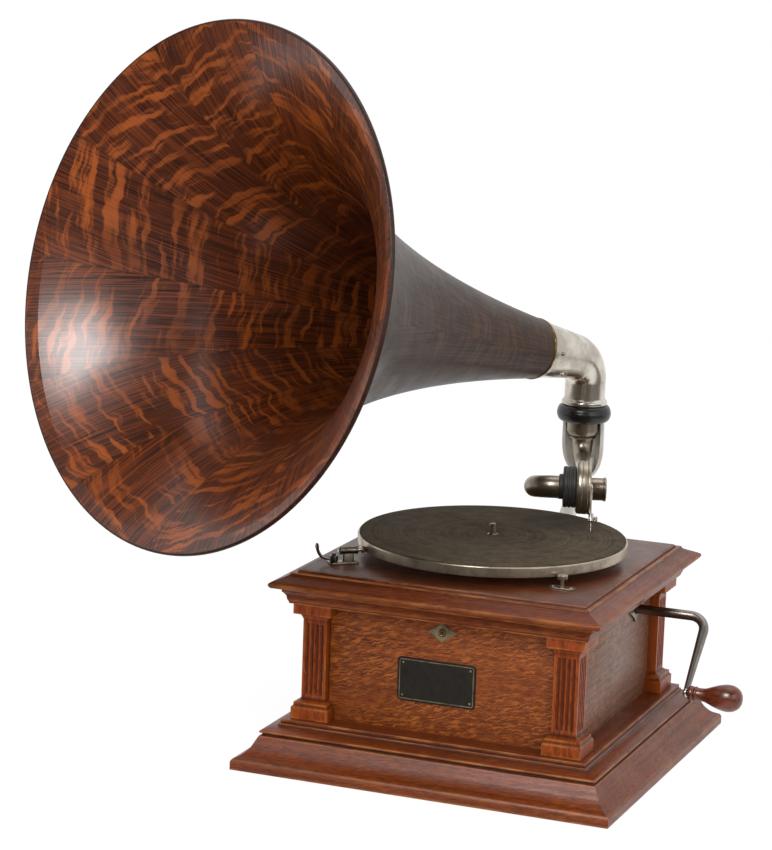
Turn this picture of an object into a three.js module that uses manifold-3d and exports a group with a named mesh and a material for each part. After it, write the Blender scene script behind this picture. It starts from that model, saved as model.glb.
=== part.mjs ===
// Disc phonograph with a rear-mounted horn: square oak case, spring motor, tapered tone arm,
// swinging sound box and a smooth oak horn on a plated elbow.
// Millimetres, +X to the crank side, +Y to the back, +Z up; the origin is the centre of the underside.
import * as THREE from 'three';
import { mergeVertices } from 'three/addons/utils/BufferGeometryUtils.js';
import Module from 'manifold-3d';

const wasm = await Module();
wasm.setup();

const FULL_TURN = 2 * Math.PI;
const RIGHT_ANGLE = Math.PI / 2;
const radians = THREE.MathUtils.degToRad;

// Clearances
const SEAT_GAP = 0.3;
const RUNNING_GAP = 0.35;
const CUT_OVERRUN = 1;
const HOLE_CLEARANCE = 1.8;

// Gear train, which sets how wide the case has to be
const TOOTH = { addendumShare: 0.85, dedendumShare: 1.25, rootShare: 0.3, tipShare: 0.1 };
const SPUR_MODULE = 2;
const GREAT_TEETH = 48;
const PINION_TEETH = 10;
const TRAIN_DISTANCE = ((GREAT_TEETH + PINION_TEETH) * SPUR_MODULE) / 2;
const GREAT_WHEEL_RADIUS = (GREAT_TEETH / 2 + TOOTH.addendumShare) * SPUR_MODULE;
const MOTOR_CLEARANCE = 5.8;

// Case
const TABLE_Y = 0.5;
const BOARD_THICKNESS = 11;
const CASE_HALF = TABLE_Y + TRAIN_DISTANCE + GREAT_WHEEL_RADIUS + MOTOR_CLEARANCE + BOARD_THICKNESS;
const CASE_TOP = 168.5;
const BOTTOM_BOARD_PROUD = 25;
const BOTTOM_BOARD_HALF = CASE_HALF + BOTTOM_BOARD_PROUD;
const BOTTOM_BOARD_THICKNESS = 10.3;
const PLINTH_PROUD = 57.5;
const PLINTH_HALF = CASE_HALF + PLINTH_PROUD;
const PLINTH_EDGE_HEIGHT = 8;
const PLINTH_STEP_PROUD = 37.7;
const PLINTH_STEP_HALF = CASE_HALF + PLINTH_STEP_PROUD;
const PLINTH_COVE_RISE = 23;
const PLINTH_STEP_HEIGHT = PLINTH_EDGE_HEIGHT + PLINTH_COVE_RISE;
const PLINTH_TOP_PROUD = 22.6;
const PLINTH_TOP_HALF = CASE_HALF + PLINTH_TOP_PROUD;
const PLINTH_CAP_RISE = 13.6;
const PLINTH_TOP = PLINTH_STEP_HEIGHT + PLINTH_CAP_RISE;
const FRIEZE_PROUD = 24.6;
const FRIEZE_HALF = CASE_HALF + FRIEZE_PROUD;
const FRIEZE_FOOT_PROUD = 19.2;
const FRIEZE_FOOT_HALF = CASE_HALF + FRIEZE_FOOT_PROUD;
const FRIEZE_DROP = 14.2;
const FRIEZE_BOTTOM = CASE_TOP - FRIEZE_DROP;
const LID_PROUD = 34.5;
const LID_HALF = CASE_HALF + LID_PROUD;
const LID_NOSE_RISE = 3.9;
const LID_NOSE_HEIGHT = CASE_TOP + LID_NOSE_RISE;
const LID_STEP_PROUD = 18.6;
const LID_STEP_HALF = CASE_HALF + LID_STEP_PROUD;
const LID_STEP_RISE = 14.9;
const LID_STEP_HEIGHT = CASE_TOP + LID_STEP_RISE;
const LID_LEDGE = 7;
const LID_INNER_HALF = CASE_HALF - LID_LEDGE;
const LID_REBATE_RISE = 7.8;
const LID_REBATE_HEIGHT = CASE_TOP + LID_REBATE_RISE;
const DECK_PROUD = 13.7;
const DECK_HALF = CASE_HALF + DECK_PROUD;
const DECK_RISE = 17.4;
const DECK_TOP = CASE_TOP + DECK_RISE;
const DECK_EDGE_ROUND = 1.6;

// Corner posts with fluted pilaster faces
const POST_PROUD = 8.7;
const POST_HALF = CASE_HALF + POST_PROUD;
const POST_WIDTH = 23.5;
const POST_BLOCK_PROUD = 16;
const POST_BLOCK_HALF = CASE_HALF + POST_BLOCK_PROUD;
const POST_BLOCK_WIDTH = 37;
const POST_BASE_HEIGHT = 12.4;
const POST_BASE_BEAD = 5.6;
const POST_CAPITAL_HEIGHT = 9.7;
const POST_CAPITAL_COVE = 5.6;
const FLUTE_RADIUS = 1.7;
const FLUTE_DEPTH = 1.3;
const FLUTE_END_MARGIN = 3.5;
const FLUTE_COUNT = 4;

// Front lock and plate
const LOCK_DROP = 27.9;
const LOCK_HEIGHT = CASE_TOP - LOCK_DROP;
const LOCK_PLATE_WIDTH = 28;
const LOCK_PLATE_DROP = 18.6;
const TRIM_THICKNESS = 1.4;
const LOCK_CYLINDER_RADIUS = 3.4;
const LOCK_CYLINDER_LENGTH = 9;
const LOCK_CYLINDER_PROUD = 1.1;
const KEY_SLOT_WIDTH = 1.2;
const KEY_SLOT_REACH_SHARE = 0.8;
const KEY_SLOT_DEPTH = 2.4;
const NAME_PLATE_WIDTH = 76;
const NAME_PLATE_DROP = 41.2;
const NAME_PLATE_FALL = 75.3;
const NAME_PLATE_HEIGHT = CASE_TOP - NAME_PLATE_FALL;
const NAME_PLATE_CENTRE_X = -4;
const NAME_PLATE_CORNER = 3.6;

// Crank on the right side
const CRANK_Y = 59.4;
const CRANK_FALL = 30.8;
const CRANK_HEIGHT = CASE_TOP - CRANK_FALL;
const CRANK_REST_ANGLE = radians(46.6);
const CRANK_PROUD = 71;
const CRANK_REACH = CASE_HALF + CRANK_PROUD;
const CRANK_THROW = 83.6;
const CRANK_BEND_RADIUS = 13;
const CRANK_SHAFT_RADIUS = 4.6;
const CRANK_TIP_RADIUS = 2.7;
const CRANK_EYE_RADIUS = 4.1;
const CRANK_PLATE_WIDTH = 42;
const CRANK_PLATE_DROP = 26;
const KNOB_LENGTH = 51;
const KNOB_RADIUS = 12.6;
const KNOB_PIN_RADIUS = 2;
const KNOB_SHARES = [
  [0, 0.5], [0.05, 0.56], [0.09, 0.5], [0.13, 0.55], [0.17, 0.48], [0.3, 0.5], [0.42, 0.68],
  [0.55, 0.87], [0.7, 1], [0.83, 0.95], [0.93, 0.72], [0.985, 0.38], [1, 0],
];

// Turntable
const TABLE_OVERHANG = 2;
const TABLE_RADIUS = CASE_HALF + TABLE_OVERHANG;
const TABLE_CLEARANCE = 9.8;
const TABLE_RIM_BOTTOM = DECK_TOP + TABLE_CLEARANCE;
const TABLE_DEPTH = 10;
const TABLE_TOP = TABLE_RIM_BOTTOM + TABLE_DEPTH;
const TABLE_RIM_WALL = 2.6;
const TABLE_PLATE_THICKNESS = 2.4;
const TABLE_HUB_RADIUS = 13;
const FELT_THICKNESS = 1.1;
const FELT_MARGIN = 1.6;
const SPINDLE_PIN_LENGTH = 12.2;
const SPINDLE_TIP = TABLE_TOP + SPINDLE_PIN_LENGTH;
const SPINDLE_PIN_RADIUS = 3.6;
const SPINDLE_RADIUS = 5;
const SPINDLE_SHOULDER_RADIUS = 9;
const SPINDLE_SHOULDER_GAP = 2.5;
const SPINDLE_SHOULDER_BOTTOM = DECK_TOP + SPINDLE_SHOULDER_GAP;
const SPINDLE_SHOULDER_HEIGHT = 7.8;
const SPINDLE_SHOULDER_TOP = SPINDLE_SHOULDER_BOTTOM + SPINDLE_SHOULDER_HEIGHT;
const SPINDLE_TIP_SHARE = 0.7;

// Tone arm
const PIVOT_PROUD = 138;
const PIVOT_Y = CASE_HALF + PIVOT_PROUD;
const ARM_ANGLE = radians(19.9);
const CROSS_REACH = 160;
const SOUNDBOX_STEP = 37;
const SOUNDBOX_REACH = CROSS_REACH + SOUNDBOX_STEP;
const NEEDLE_LEAD = 24.4;
const NEEDLE_REACH = SOUNDBOX_REACH + NEEDLE_LEAD;
const SOUNDBOX_LIFT = 37.9;
const CROSS_LIFT = 28.7;
const CROSS_RADIUS = 10.9;
const CROSS_LEFT = -25;
const CROSS_RIGHT = 19;
const CROSS_BORE = 8.1;
const CROSS_BORE_DEPTH = 26;
const CROSS_BEAD = 0.7;
const ARM_TIP_RADIUS = 6.4;
const ARM_KNEE_RADIUS = 7.6;
const ARM_ROOT_RADIUS = 11.4;
const ARM_CUP_RADIUS = 16.3;
const ARM_CUP_DROP = 24.5;
const ARM_BEND_RADIUS = 19;
const ARM_FLANGE_RADIUS = 19;
const NEEDLE_GAP = 0.35;

// Gooseneck and sound box, along the cross direction of the arm
const GOOSENECK_RADIUS = 10.2;
const GOOSENECK_BEND_X = -31.5;
const GOOSENECK_SPIGOT_RADIUS = 7.7;
const GOOSENECK_SPIGOT_LENGTH = 18;
const GOOSENECK_BORE_RADIUS = 5.4;
const BOX_RADIUS = 25.6;
const BOX_BACK = -12;
const BOX_FRONT = 2;
const BOX_WALL = 2;
const BOX_RING_DEPTH = 2.6;
const BOX_RING_OPENING_RADIUS = 21.5;
const BOX_PORT_RADIUS = 6;
const RUBBER_RADIUS = 19.8;
const RUBBER_BACK = -23.9;
const RUBBER_COLLAR_RADIUS = 12;
const RUBBER_COLLAR_BACK = -28.2;
const DIAPHRAGM_THICKNESS = 0.5;
const STYLUS_WIDTH = 3.4;
const STYLUS_THICKNESS = 1.8;
const NEEDLE_RADIUS = 0.8;
const NEEDLE_TIP_RADIUS = 0.25;
const NEEDLE_POINT_LENGTH = 4;
const NEEDLE_SOCKET_RADIUS = 2.6;
const NEEDLE_SOCKET_LENGTH = 9;
const NEEDLE_PLANE_X = 4.6;
const THUMBSCREW_RADIUS = 3.2;
const THUMBSCREW_SHANK_RADIUS = 1.1;

// Knuckle, elbow and bracket
const FELT_TOP = TABLE_TOP + SEAT_GAP + FELT_THICKNESS;
const CROSS_HEIGHT = FELT_TOP + CROSS_LIFT;
const ARM_NECK_HEIGHT = 1.8;
const ARM_CUP_BOTTOM = CROSS_HEIGHT + ARM_BEND_RADIUS + ARM_NECK_HEIGHT;
const KNUCKLE_HEIGHT = ARM_CUP_BOTTOM + ARM_CUP_DROP;
const KNUCKLE_RADIUS = 27.4;
const KNUCKLE_DEPTH = 17;
const ELBOW_NECK_RADIUS = 20.6;
const ELBOW_WALL = 2.2;
const ELBOW_FOOT_RADIUS = 23;
const ELBOW_FOOT_DEPTH = 6;
const ELBOW_BEND_RADIUS = 30;
const ELBOW_BEND_SHARE = 0.25;
const ELBOW_MOUTH_RADIUS = 29.4;
const BRACKET_RADIUS = 21.6;
const BRACKET_WALL = 3.2;
const BRACKET_STEM_WIDTH = 17.6;
const BRACKET_STEM_DEPTH = 12;
const BRACKET_STEM_BACK_SHARE = 0.75;
const BRACKET_SHELL_DROP = 67.1;
const BRACKET_SHELL_BOTTOM = KNUCKLE_HEIGHT - BRACKET_SHELL_DROP;
const BRACKET_FLANGE_WIDTH = 52;
const BRACKET_FLANGE_DROP = 78;
const BRACKET_FLANGE_FALL = 60.5;
const BRACKET_FLANGE_HEIGHT = CASE_TOP - BRACKET_FLANGE_FALL;
const BRACKET_FLANGE_THICKNESS = 6;

// Horn
const HORN_AZIMUTH = radians(-114);
const HORN_ELEVATION = radians(12.36);
const HORN_AXIS_RISE = 55.6;
const HORN_AXIS_HEIGHT = KNUCKLE_HEIGHT + HORN_AXIS_RISE;
const HORN_START = 83;
const HORN_LENGTH = 448.5;
const HORN_NECK_RADIUS = 30.3;
const HORN_MOUTH_RADIUS = 240.7;
const HORN_WALL = 4.6;
const HORN_STRAIGHT_SHARE = 0.9;
const HORN_FLARE_POWER = 5;
const HORN_STATIONS = 11;
const HORN_SEGMENTS = 44;
const RIM_WIDTH = 6.4;
const RIM_DEPTH = 7;
const FERRULE_RADIUS = 25.2;
const FERRULE_WALL = 1.2;
const FERRULE_INSERT = 30;
const FERRULE_SLIP = 24;
const FERRULE_BEAD = 31;
const FERRULE_BEAD_DEPTH = 3.4;

// Speed regulator
const SPEED_ANGLE = radians(-41.6);
const SPEED_CLEARANCE = 5.9;
const SPEED_REACH = TABLE_RADIUS + SPEED_CLEARANCE;
const SPEED_PLATE_LENGTH = 25;
const SPEED_PLATE_WIDTH = 10;
const SPEED_KNOB_RADIUS = 4.8;
const SPEED_KNOB_RISE = 13.5;
const SPEED_KNOB_TOP = DECK_TOP + SPEED_KNOB_RISE;
const SPEED_KNOB_CROWN_SHARE = 0.8;
const SPEED_KNOB_DEPTH = 4.6;
const SPEED_SCREW_RADIUS = 1.7;
const SPEED_PAD_GAP = 1.2;
const SPEED_ROCKER_RADIUS = 2.4;
const SPEED_BLADE_RISE = 8.8;
const SPEED_PAD_RISE = 11.4;

// Brake
const BRAKE_ANGLE = radians(-139);
const BRAKE_RISE = 12.1;
const BRAKE_HEIGHT = DECK_TOP + BRAKE_RISE;
const BRAKE_TUBE_RADIUS = 3.7;
const BRAKE_TUBE_REACH = 25;
const BRAKE_TUBE_OUTER_END = TABLE_RADIUS + BRAKE_TUBE_REACH;
const BRAKE_TUBE_INNER_GAP = 7;
const BRAKE_TRAVEL = 2.5;
const BRAKE_ROD_RADIUS = 1.7;
const BRAKE_PAD_RADIUS = 3.1;
const BRAKE_PAD_THICKNESS = 2.4;
const BRAKE_PLATE_REACH = 35;
const BRAKE_PLATE_OUTER_END = TABLE_RADIUS + BRAKE_PLATE_REACH;
const BRAKE_PLATE_WIDTH = 12;
const BRAKE_PLATE_THICKNESS = 1.8;
const BRAKE_PIVOT_CLEARANCE = 30;
const BRAKE_PIVOT_REACH = TABLE_RADIUS + BRAKE_PIVOT_CLEARANCE;
const BRAKE_PIVOT_RADIUS = 2;
const BRAKE_LEVER_RADIUS = 1.5;
const BRAKE_TAB_THROW = 16.5;
const BRAKE_TAB_REACH = BRAKE_PIVOT_REACH + BRAKE_TAB_THROW;
const BRAKE_TAB_RISE = 5;
const BRAKE_TAB_HEIGHT = BRAKE_HEIGHT + BRAKE_TAB_RISE;
const BRAKE_TAB_RADIUS = 3.4;
const BRAKE_TAB_TALL_SHARE = 1.2;

// Motor
const CROWN_TEETH = 36;
const CROWN_REACH_SHARE = 0.92;
const CROWN_ROOT_SHARE = 0.27;
const CROWN_TIP_SHARE = 0.1;
const WINDING_MODULE = 2;
const WINDING_TEETH = 35;
const CRANK_PINION_TEETH = 12;
const WORM_WHEEL_TEETH = 40;
const WORM_STARTS = 4;
const WORM_MODULE = 1;
const WORM_WHEEL_HELIX = radians(21.8);
const INTERMEDIATE_DROP = 13;
const GEAR_WIDTH = 6;
const WORM_LENGTH = 14;
const WORM_TURN = RIGHT_ANGLE / 2;
const WORM_FALL = 36.5;
const WORM_HEIGHT = CASE_TOP - WORM_FALL;
const BARREL_RIM = 2.5;
const BARREL_RADIUS = (GREAT_TEETH / 2 - TOOTH.dedendumShare) * SPUR_MODULE - BARREL_RIM;
const LEFT_CHEEK = -69;
const BARREL_CLEARANCE = 16;
const BARREL_LEFT = LEFT_CHEEK + BARREL_CLEARANCE;
const BARREL_LENGTH = 33;
const BARREL_WALL = 1.6;
const ARBOR_RADIUS = 5;
const LAYSHAFT_RADIUS = 3;
const GOVERNOR_SHAFT_RADIUS = 2.2;
const GOVERNOR_RIGHT = 68;
const GOVERNOR_COLLAR_RADIUS = 8.4;
const GOVERNOR_DISC_RADIUS = 15.9;
const GOVERNOR_LEAF_THICKNESS = 0.6;
const GOVERNOR_LEAF_WIDTH = 5;
const GOVERNOR_WEIGHT_RADIUS = 4.6;
const GOVERNOR_WEIGHT_RISE = 2.8;
const BED_FALL = 10.5;
const BED_BOTTOM = CASE_TOP - BED_FALL;
const BED_THICKNESS = 6;
const BED_MARGIN = 3;
const CHEEK_THICKNESS = 5;
const BED_LEFT = LEFT_CHEEK - BED_MARGIN;
const BED_RIGHT_MARGIN = 6;
const BED_RIGHT = GOVERNOR_RIGHT + BED_RIGHT_MARGIN;
const BED_FRONT = -38;
const BED_BACK_MARGIN = 27;
const BED_BACK = CASE_HALF - BED_BACK_MARGIN;
const CHEEK_SHOULDER = 15;
const STEP_HALF = 6.5;
const MIDDLE_CHEEK = -29.5;
const RIGHT_CHEEK = 28;
const BOSS_RADIUS = 6;
const SPRING_TURNS = 4;
const SPRING_STRIP = 0.9;
const SPRING_WIDTH = 27;

// Colours
const oak = (color) => new THREE.MeshStandardMaterial({ color, roughness: 0.55, metalness: 0 });
const metal = (color, roughness) => new THREE.MeshStandardMaterial({ color, roughness, metalness: 1 });
const soft = (color) => new THREE.MeshStandardMaterial({ color, roughness: 0.85, metalness: 0 });
const CASE_OAK = oak(0x8a4a22);
const MOULDING_OAK = oak(0x7a3d1e);
const HORN_OAK = oak(0x5e3020);
const RIM_OAK = oak(0x3a2018);
const NICKEL = metal(0x9b958a, 0.3);
const DARK_STEEL = metal(0x4a4745, 0.35);
const BRASS = metal(0xa98a4c, 0.4);
const CAST_IRON = metal(0x3b3d3c, 0.6);
const BLACK_ENAMEL = soft(0x15151a);
const RUBBER = soft(0x1b1d21);
const FELT = soft(0x3e352f);
const MICA = soft(0xb9b2a0);
const LEATHER = soft(0x6b4a30);
const KNOB_WOOD = oak(0x7a2c1a);
const PLATE_BLACK = soft(0x16130f);

const part = new THREE.Group();

// Adds one named piece to a group.
function add(parent, name, geometry, material) {
  const mesh = new THREE.Mesh(geometry, material);
  mesh.name = name;
  parent.add(mesh);
  return mesh;
}

// Closed solid of a geometry, for joins and cuts.
function solid(geometry) {
  const bare = geometry.clone();
  bare.deleteAttribute('normal');
  bare.deleteAttribute('uv');
  const merged = mergeVertices(bare, 1e-4);
  return new wasm.Manifold(new wasm.Mesh({
    numProp: 3,
    vertProperties: new Float32Array(merged.attributes.position.array),
    triVerts: new Uint32Array(merged.index.array),
  }));
}

// Geometry of a solid after its joins and cuts.
function geometryOf(body) {
  const mesh = body.getMesh();
  const geometry = new THREE.BufferGeometry();
  geometry.setAttribute('position', new THREE.BufferAttribute(new Float32Array(mesh.vertProperties), 3));
  geometry.setIndex(new THREE.BufferAttribute(new Uint32Array(mesh.triVerts), 1));
  geometry.computeVertexNormals();
  return geometry;
}

// Joins some geometries and cuts others from the result.
function shaped(joined, cuts = []) {
  let body = solid(joined[0]);
  for (const piece of joined.slice(1)) {
    body = body.add(solid(piece));
  }
  for (const cut of cuts) {
    body = body.subtract(solid(cut));
  }
  return geometryOf(body);
}

// Box between two corners.
function boxBetween(low, high) {
  const size = high.map((value, i) => value - low[i]);
  const box = new THREE.BoxGeometry(...size);
  return box.translate(...low.map((value, i) => value + size[i] / 2));
}

// Solid of revolution about +Z from [radius, height] points.
function turned(profile, segments) {
  const points = profile.map(([radius, height]) => new THREE.Vector2(radius, height));
  return new THREE.LatheGeometry(points, segments).rotateX(RIGHT_ANGLE);
}

// Rod about +Z between two heights.
function rod(radius, low, high, segments) {
  return turned([[0, low], [radius, low], [radius, high], [0, high]], segments);
}

// Ring about +Z between two heights.
function ring(inner, outer, low, high, segments) {
  return turned([[inner, low], [outer, low], [outer, high], [inner, high], [inner, low]], segments);
}

// Turns a shape built about +Z so that its axis is +X.
function alongX(geometry) {
  return geometry.rotateY(RIGHT_ANGLE);
}

// Mitred square frame from [half width, height] points.
function squareFrame(profile) {
  const points = profile.map(([half, height]) => new THREE.Vector2(half * Math.SQRT2, height));
  return new THREE.LatheGeometry(points, 4, Math.PI / 4).rotateX(RIGHT_ANGLE);
}

// Flat plate from an outline, standing on z = 0.
function plateOf(shape, thickness, curveSegments = 4) {
  return new THREE.ExtrudeGeometry(shape, { depth: thickness, bevelEnabled: false, curveSegments });
}

// Closed outline through [x, y] points.
function outline(points) {
  return new THREE.Shape(points.map(([x, y]) => new THREE.Vector2(x, y)));
}

// Round hole about the origin of an outline.
function roundHole(radius) {
  return new THREE.Path().absarc(0, 0, radius, 0, FULL_TURN, true);
}

// Closed body through rings of points that have equal counts, with capped ends.
function loft(rings) {
  const count = rings[0].length;
  const vertices = rings.flat();
  const faces = [];
  for (let i = 0; i + 1 < rings.length; i += 1) {
    for (let j = 0; j < count; j += 1) {
      const next = (j + 1) % count;
      const a = i * count + j;
      const b = i * count + next;
      faces.push(a, b, b + count, a, b + count, a + count);
    }
  }
  const triangles = THREE.ShapeUtils.triangulateShape(flatRing(rings[0]), []);
  const last = (rings.length - 1) * count;
  for (const [a, b, c] of triangles) {
    faces.push(a, c, b, last + a, last + b, last + c);
  }
  const geometry = new THREE.BufferGeometry().setFromPoints(vertices);
  geometry.setIndex(faces);
  geometry.computeVertexNormals();
  return solid(geometry).volume() > 0 ? geometry : flipped(geometry);
}

// Ring of points laid out in its own plane.
function flatRing(points) {
  const origin = points[0];
  const side = points[1].clone().sub(origin).normalize();
  const spread = points[Math.floor(points.length / 2)].clone().sub(origin);
  const normal = side.clone().cross(spread).normalize();
  const up = normal.clone().cross(side);
  return points.map((point) => {
    const offset = point.clone().sub(origin);
    return new THREE.Vector2(offset.dot(side), offset.dot(up));
  });
}

// Same surface with its faces turned over.
function flipped(geometry) {
  const index = geometry.index.array;
  for (let i = 0; i < index.length; i += 3) {
    [index[i], index[i + 1]] = [index[i + 1], index[i]];
  }
  geometry.computeVertexNormals();
  return geometry;
}

// Round bar along a flat path whose thickness may change; side is square to the path's plane.
function taperedBar(path, radii, side, sides) {
  const rings = path.map((point, i) => {
    const before = path[Math.max(i - 1, 0)];
    const after = path[Math.min(i + 1, path.length - 1)];
    const tangent = after.clone().sub(before).normalize();
    const up = tangent.clone().cross(side);
    const points = [];
    for (let j = 0; j < sides; j += 1) {
      const angle = (FULL_TURN * j) / sides;
      points.push(point.clone()
        .addScaledVector(side, radii[i] * Math.cos(angle))
        .addScaledVector(up, radii[i] * Math.sin(angle)));
    }
    return points;
  });
  return loft(rings);
}

// Points of a round bend in the plane of two directions, from start towards the first, then the second.
function bend(corner, from, to, radius, steps) {
  const turn = from.angleTo(to);
  const reach = radius * Math.tan(turn / 2);
  const start = corner.clone().addScaledVector(from, -reach);
  const inward = to.clone().addScaledVector(from, -from.dot(to)).normalize();
  const centre = start.clone().addScaledVector(inward, radius);
  const points = [];
  for (let i = 0; i <= steps; i += 1) {
    const angle = (turn * i) / steps;
    points.push(centre.clone()
      .addScaledVector(inward, -radius * Math.cos(angle))
      .addScaledVector(from, radius * Math.sin(angle)));
  }
  return points;
}

// Ring of gear teeth with straight flanks, as an outline; a tooth lies on the +X axis.
function gearOutline(teeth, pitchRadius, module, turn = 0) {
  const root = pitchRadius - TOOTH.dedendumShare * module;
  const tip = pitchRadius + TOOTH.addendumShare * module;
  const pitch = FULL_TURN / teeth;
  const points = [];
  for (let i = 0; i < teeth; i += 1) {
    const centre = i * pitch + turn;
    for (const [radius, share] of [
      [root, -TOOTH.rootShare],
      [tip, -TOOTH.tipShare],
      [tip, TOOTH.tipShare],
      [root, TOOTH.rootShare],
    ]) {
      const angle = centre + share * pitch;
      points.push([radius * Math.cos(angle), radius * Math.sin(angle)]);
    }
  }
  return points;
}

// Spur gear about +Z from z = 0, with an optional round bore.
function spurGear(teeth, module, width, bore, turn = 0) {
  const shape = outline(gearOutline(teeth, (teeth * module) / 2, module, turn));
  if (bore > 0) {
    shape.holes.push(roundHole(bore));
  }
  return plateOf(shape, width, 10);
}

// Spur gear about +X from x = 0; one tooth points at an angle from +Y towards +Z.
function axleGear(teeth, module, width, bore, toothAngle) {
  return alongX(spurGear(teeth, module, width, bore)).rotateX(toothAngle + RIGHT_ANGLE);
}

// Helical gear about +Z, centred on z = 0; the twist is in radians for the whole width.
function helicalGear(teeth, pitchRadius, module, width, twist, steps, turn = 0) {
  const rings = [];
  for (let i = 0; i <= steps; i += 1) {
    const share = i / steps - 1 / 2;
    const points = gearOutline(teeth, pitchRadius, module, turn + twist * share);
    rings.push(points.map(([x, y]) => new THREE.Vector3(x, y, width * share)));
  }
  return loft(rings);
}

// Case: bottom board, plinth, four boards, frieze and lid frame.
function buildCase() {
  const inner = CASE_HALF + SEAT_GAP;
  add(part, 'bottom_board', boxBetween(
    [-BOTTOM_BOARD_HALF, -BOTTOM_BOARD_HALF, 0],
    [BOTTOM_BOARD_HALF, BOTTOM_BOARD_HALF, BOTTOM_BOARD_THICKNESS],
  ), CASE_OAK);
  const rise = PLINTH_STEP_HEIGHT - PLINTH_EDGE_HEIGHT;
  const run = PLINTH_HALF - PLINTH_STEP_HALF;
  const coveShares = [[0.07, 0.1], [0.42, 0.25], [0.7, 0.5], [0.88, 0.78], [1, 0.97]];
  const cove = coveShares.map(([inward, up]) => [
    PLINTH_HALF - run * inward, PLINTH_EDGE_HEIGHT + rise * up,
  ]);
  const capRise = PLINTH_TOP - PLINTH_STEP_HEIGHT;
  const capRun = PLINTH_STEP_HALF - PLINTH_TOP_HALF;
  const capShares = [
    [0.16, 0.02], [0.16, 0.12], [0.04, 0.15], [0.1, 0.34], [0.45, 0.45], [0.85, 0.55], [0.85, 0.7], [1, 0.74],
  ];
  const cap = capShares.map(([inward, up]) => [
    PLINTH_STEP_HALF - capRun * inward, PLINTH_STEP_HEIGHT + capRise * up,
  ]);
  const rebate = BOTTOM_BOARD_THICKNESS + SEAT_GAP;
  const boardEdge = BOTTOM_BOARD_HALF + SEAT_GAP;
  add(part, 'plinth_moulding', squareFrame([
    [boardEdge, 0], [PLINTH_HALF, 0], [PLINTH_HALF, PLINTH_EDGE_HEIGHT], ...cove, ...cap,
    [PLINTH_TOP_HALF, PLINTH_TOP], [inner, PLINTH_TOP], [inner, rebate], [boardEdge, rebate],
    [boardEdge, 0],
  ]), MOULDING_OAK);

  const postInner = POST_HALF - POST_WIDTH;
  const boardHalf = postInner - SEAT_GAP;
  const low = BOTTOM_BOARD_THICKNESS + SEAT_GAP;
  const board = () => boxBetween(
    [-boardHalf, -BOARD_THICKNESS, low],
    [boardHalf, 0, CASE_TOP],
  ).translate(0, CASE_HALF, 0);
  const crankHole = alongX(rod(CRANK_SHAFT_RADIUS + HOLE_CLEARANCE, 0, CASE_HALF + CUT_OVERRUN, 16))
    .translate(0, CRANK_Y, CRANK_HEIGHT);
  const lockHole = rod(LOCK_CYLINDER_RADIUS + RUNNING_GAP, 0, CASE_HALF + CUT_OVERRUN, 16)
    .rotateX(RIGHT_ANGLE).translate(0, 0, LOCK_HEIGHT);
  add(part, 'case_back', board(), CASE_OAK);
  add(part, 'case_front', shaped([board().rotateZ(Math.PI)], [lockHole]), CASE_OAK);
  add(part, 'case_left', board().rotateZ(RIGHT_ANGLE), CASE_OAK);
  add(part, 'case_right', shaped([board().rotateZ(-RIGHT_ANGLE)], [crankHole]), CASE_OAK);

  const friezeRise = CASE_TOP - FRIEZE_BOTTOM;
  const friezeRun = FRIEZE_HALF - FRIEZE_FOOT_HALF;
  const friezeShares = [[0, 0], [0, 0.1], [0.25, 0.25], [0.4, 0.55], [0.8, 0.75], [1, 0.8], [1, 1]];
  const frieze = friezeShares.map(([out, up]) => [
    FRIEZE_FOOT_HALF + friezeRun * out, FRIEZE_BOTTOM + friezeRise * up,
  ]);
  add(part, 'frieze_moulding', squareFrame([
    [inner, FRIEZE_BOTTOM], ...frieze, [inner, CASE_TOP], [inner, FRIEZE_BOTTOM],
  ]), MOULDING_OAK);

  const lidBottom = CASE_TOP + SEAT_GAP;
  const lidRise = LID_STEP_HEIGHT - LID_NOSE_HEIGHT;
  const lidRun = LID_HALF - LID_STEP_HALF;
  const lidShares = [[0, 0], [0.05, 0.2], [0.35, 0.42], [0.75, 0.66], [0.97, 0.84], [1, 1]];
  const slope = lidShares.map(([inward, up]) => [
    LID_HALF - lidRun * inward, LID_NOSE_HEIGHT + lidRise * up,
  ]);
  const deckEdge = DECK_HALF + SEAT_GAP;
  add(part, 'lid_frame', squareFrame([
    [LID_INNER_HALF, lidBottom], [FRIEZE_HALF + SEAT_GAP, lidBottom],
    [LID_HALF - (LID_NOSE_HEIGHT - lidBottom) / 2, lidBottom + (LID_NOSE_HEIGHT - lidBottom) / 4],
    ...slope, [deckEdge, LID_STEP_HEIGHT], [deckEdge, LID_REBATE_HEIGHT],
    [LID_INNER_HALF, LID_REBATE_HEIGHT], [LID_INNER_HALF, lidBottom],
  ]), MOULDING_OAK);

  const deckBottom = LID_REBATE_HEIGHT + SEAT_GAP;
  const deck = squareFrame([
    [0, deckBottom], [DECK_HALF, deckBottom], [DECK_HALF, DECK_TOP - DECK_EDGE_ROUND],
    [DECK_HALF - DECK_EDGE_ROUND / 2, DECK_TOP - DECK_EDGE_ROUND / 4],
    [DECK_HALF - 2 * DECK_EDGE_ROUND, DECK_TOP],
    [0, DECK_TOP],
  ]);
  const spindleHole = rod(SPINDLE_RADIUS + HOLE_CLEARANCE, 0, DECK_TOP + CUT_OVERRUN, 16)
    .translate(0, TABLE_Y, 0);
  const speedHole = rod(SPEED_SCREW_RADIUS + RUNNING_GAP, 0, DECK_TOP + CUT_OVERRUN, 12)
    .translate(...speedPlace(), 0);
  add(part, 'motor_board', shaped([deck], [spindleHole, speedHole]), CASE_OAK);
}

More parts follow.
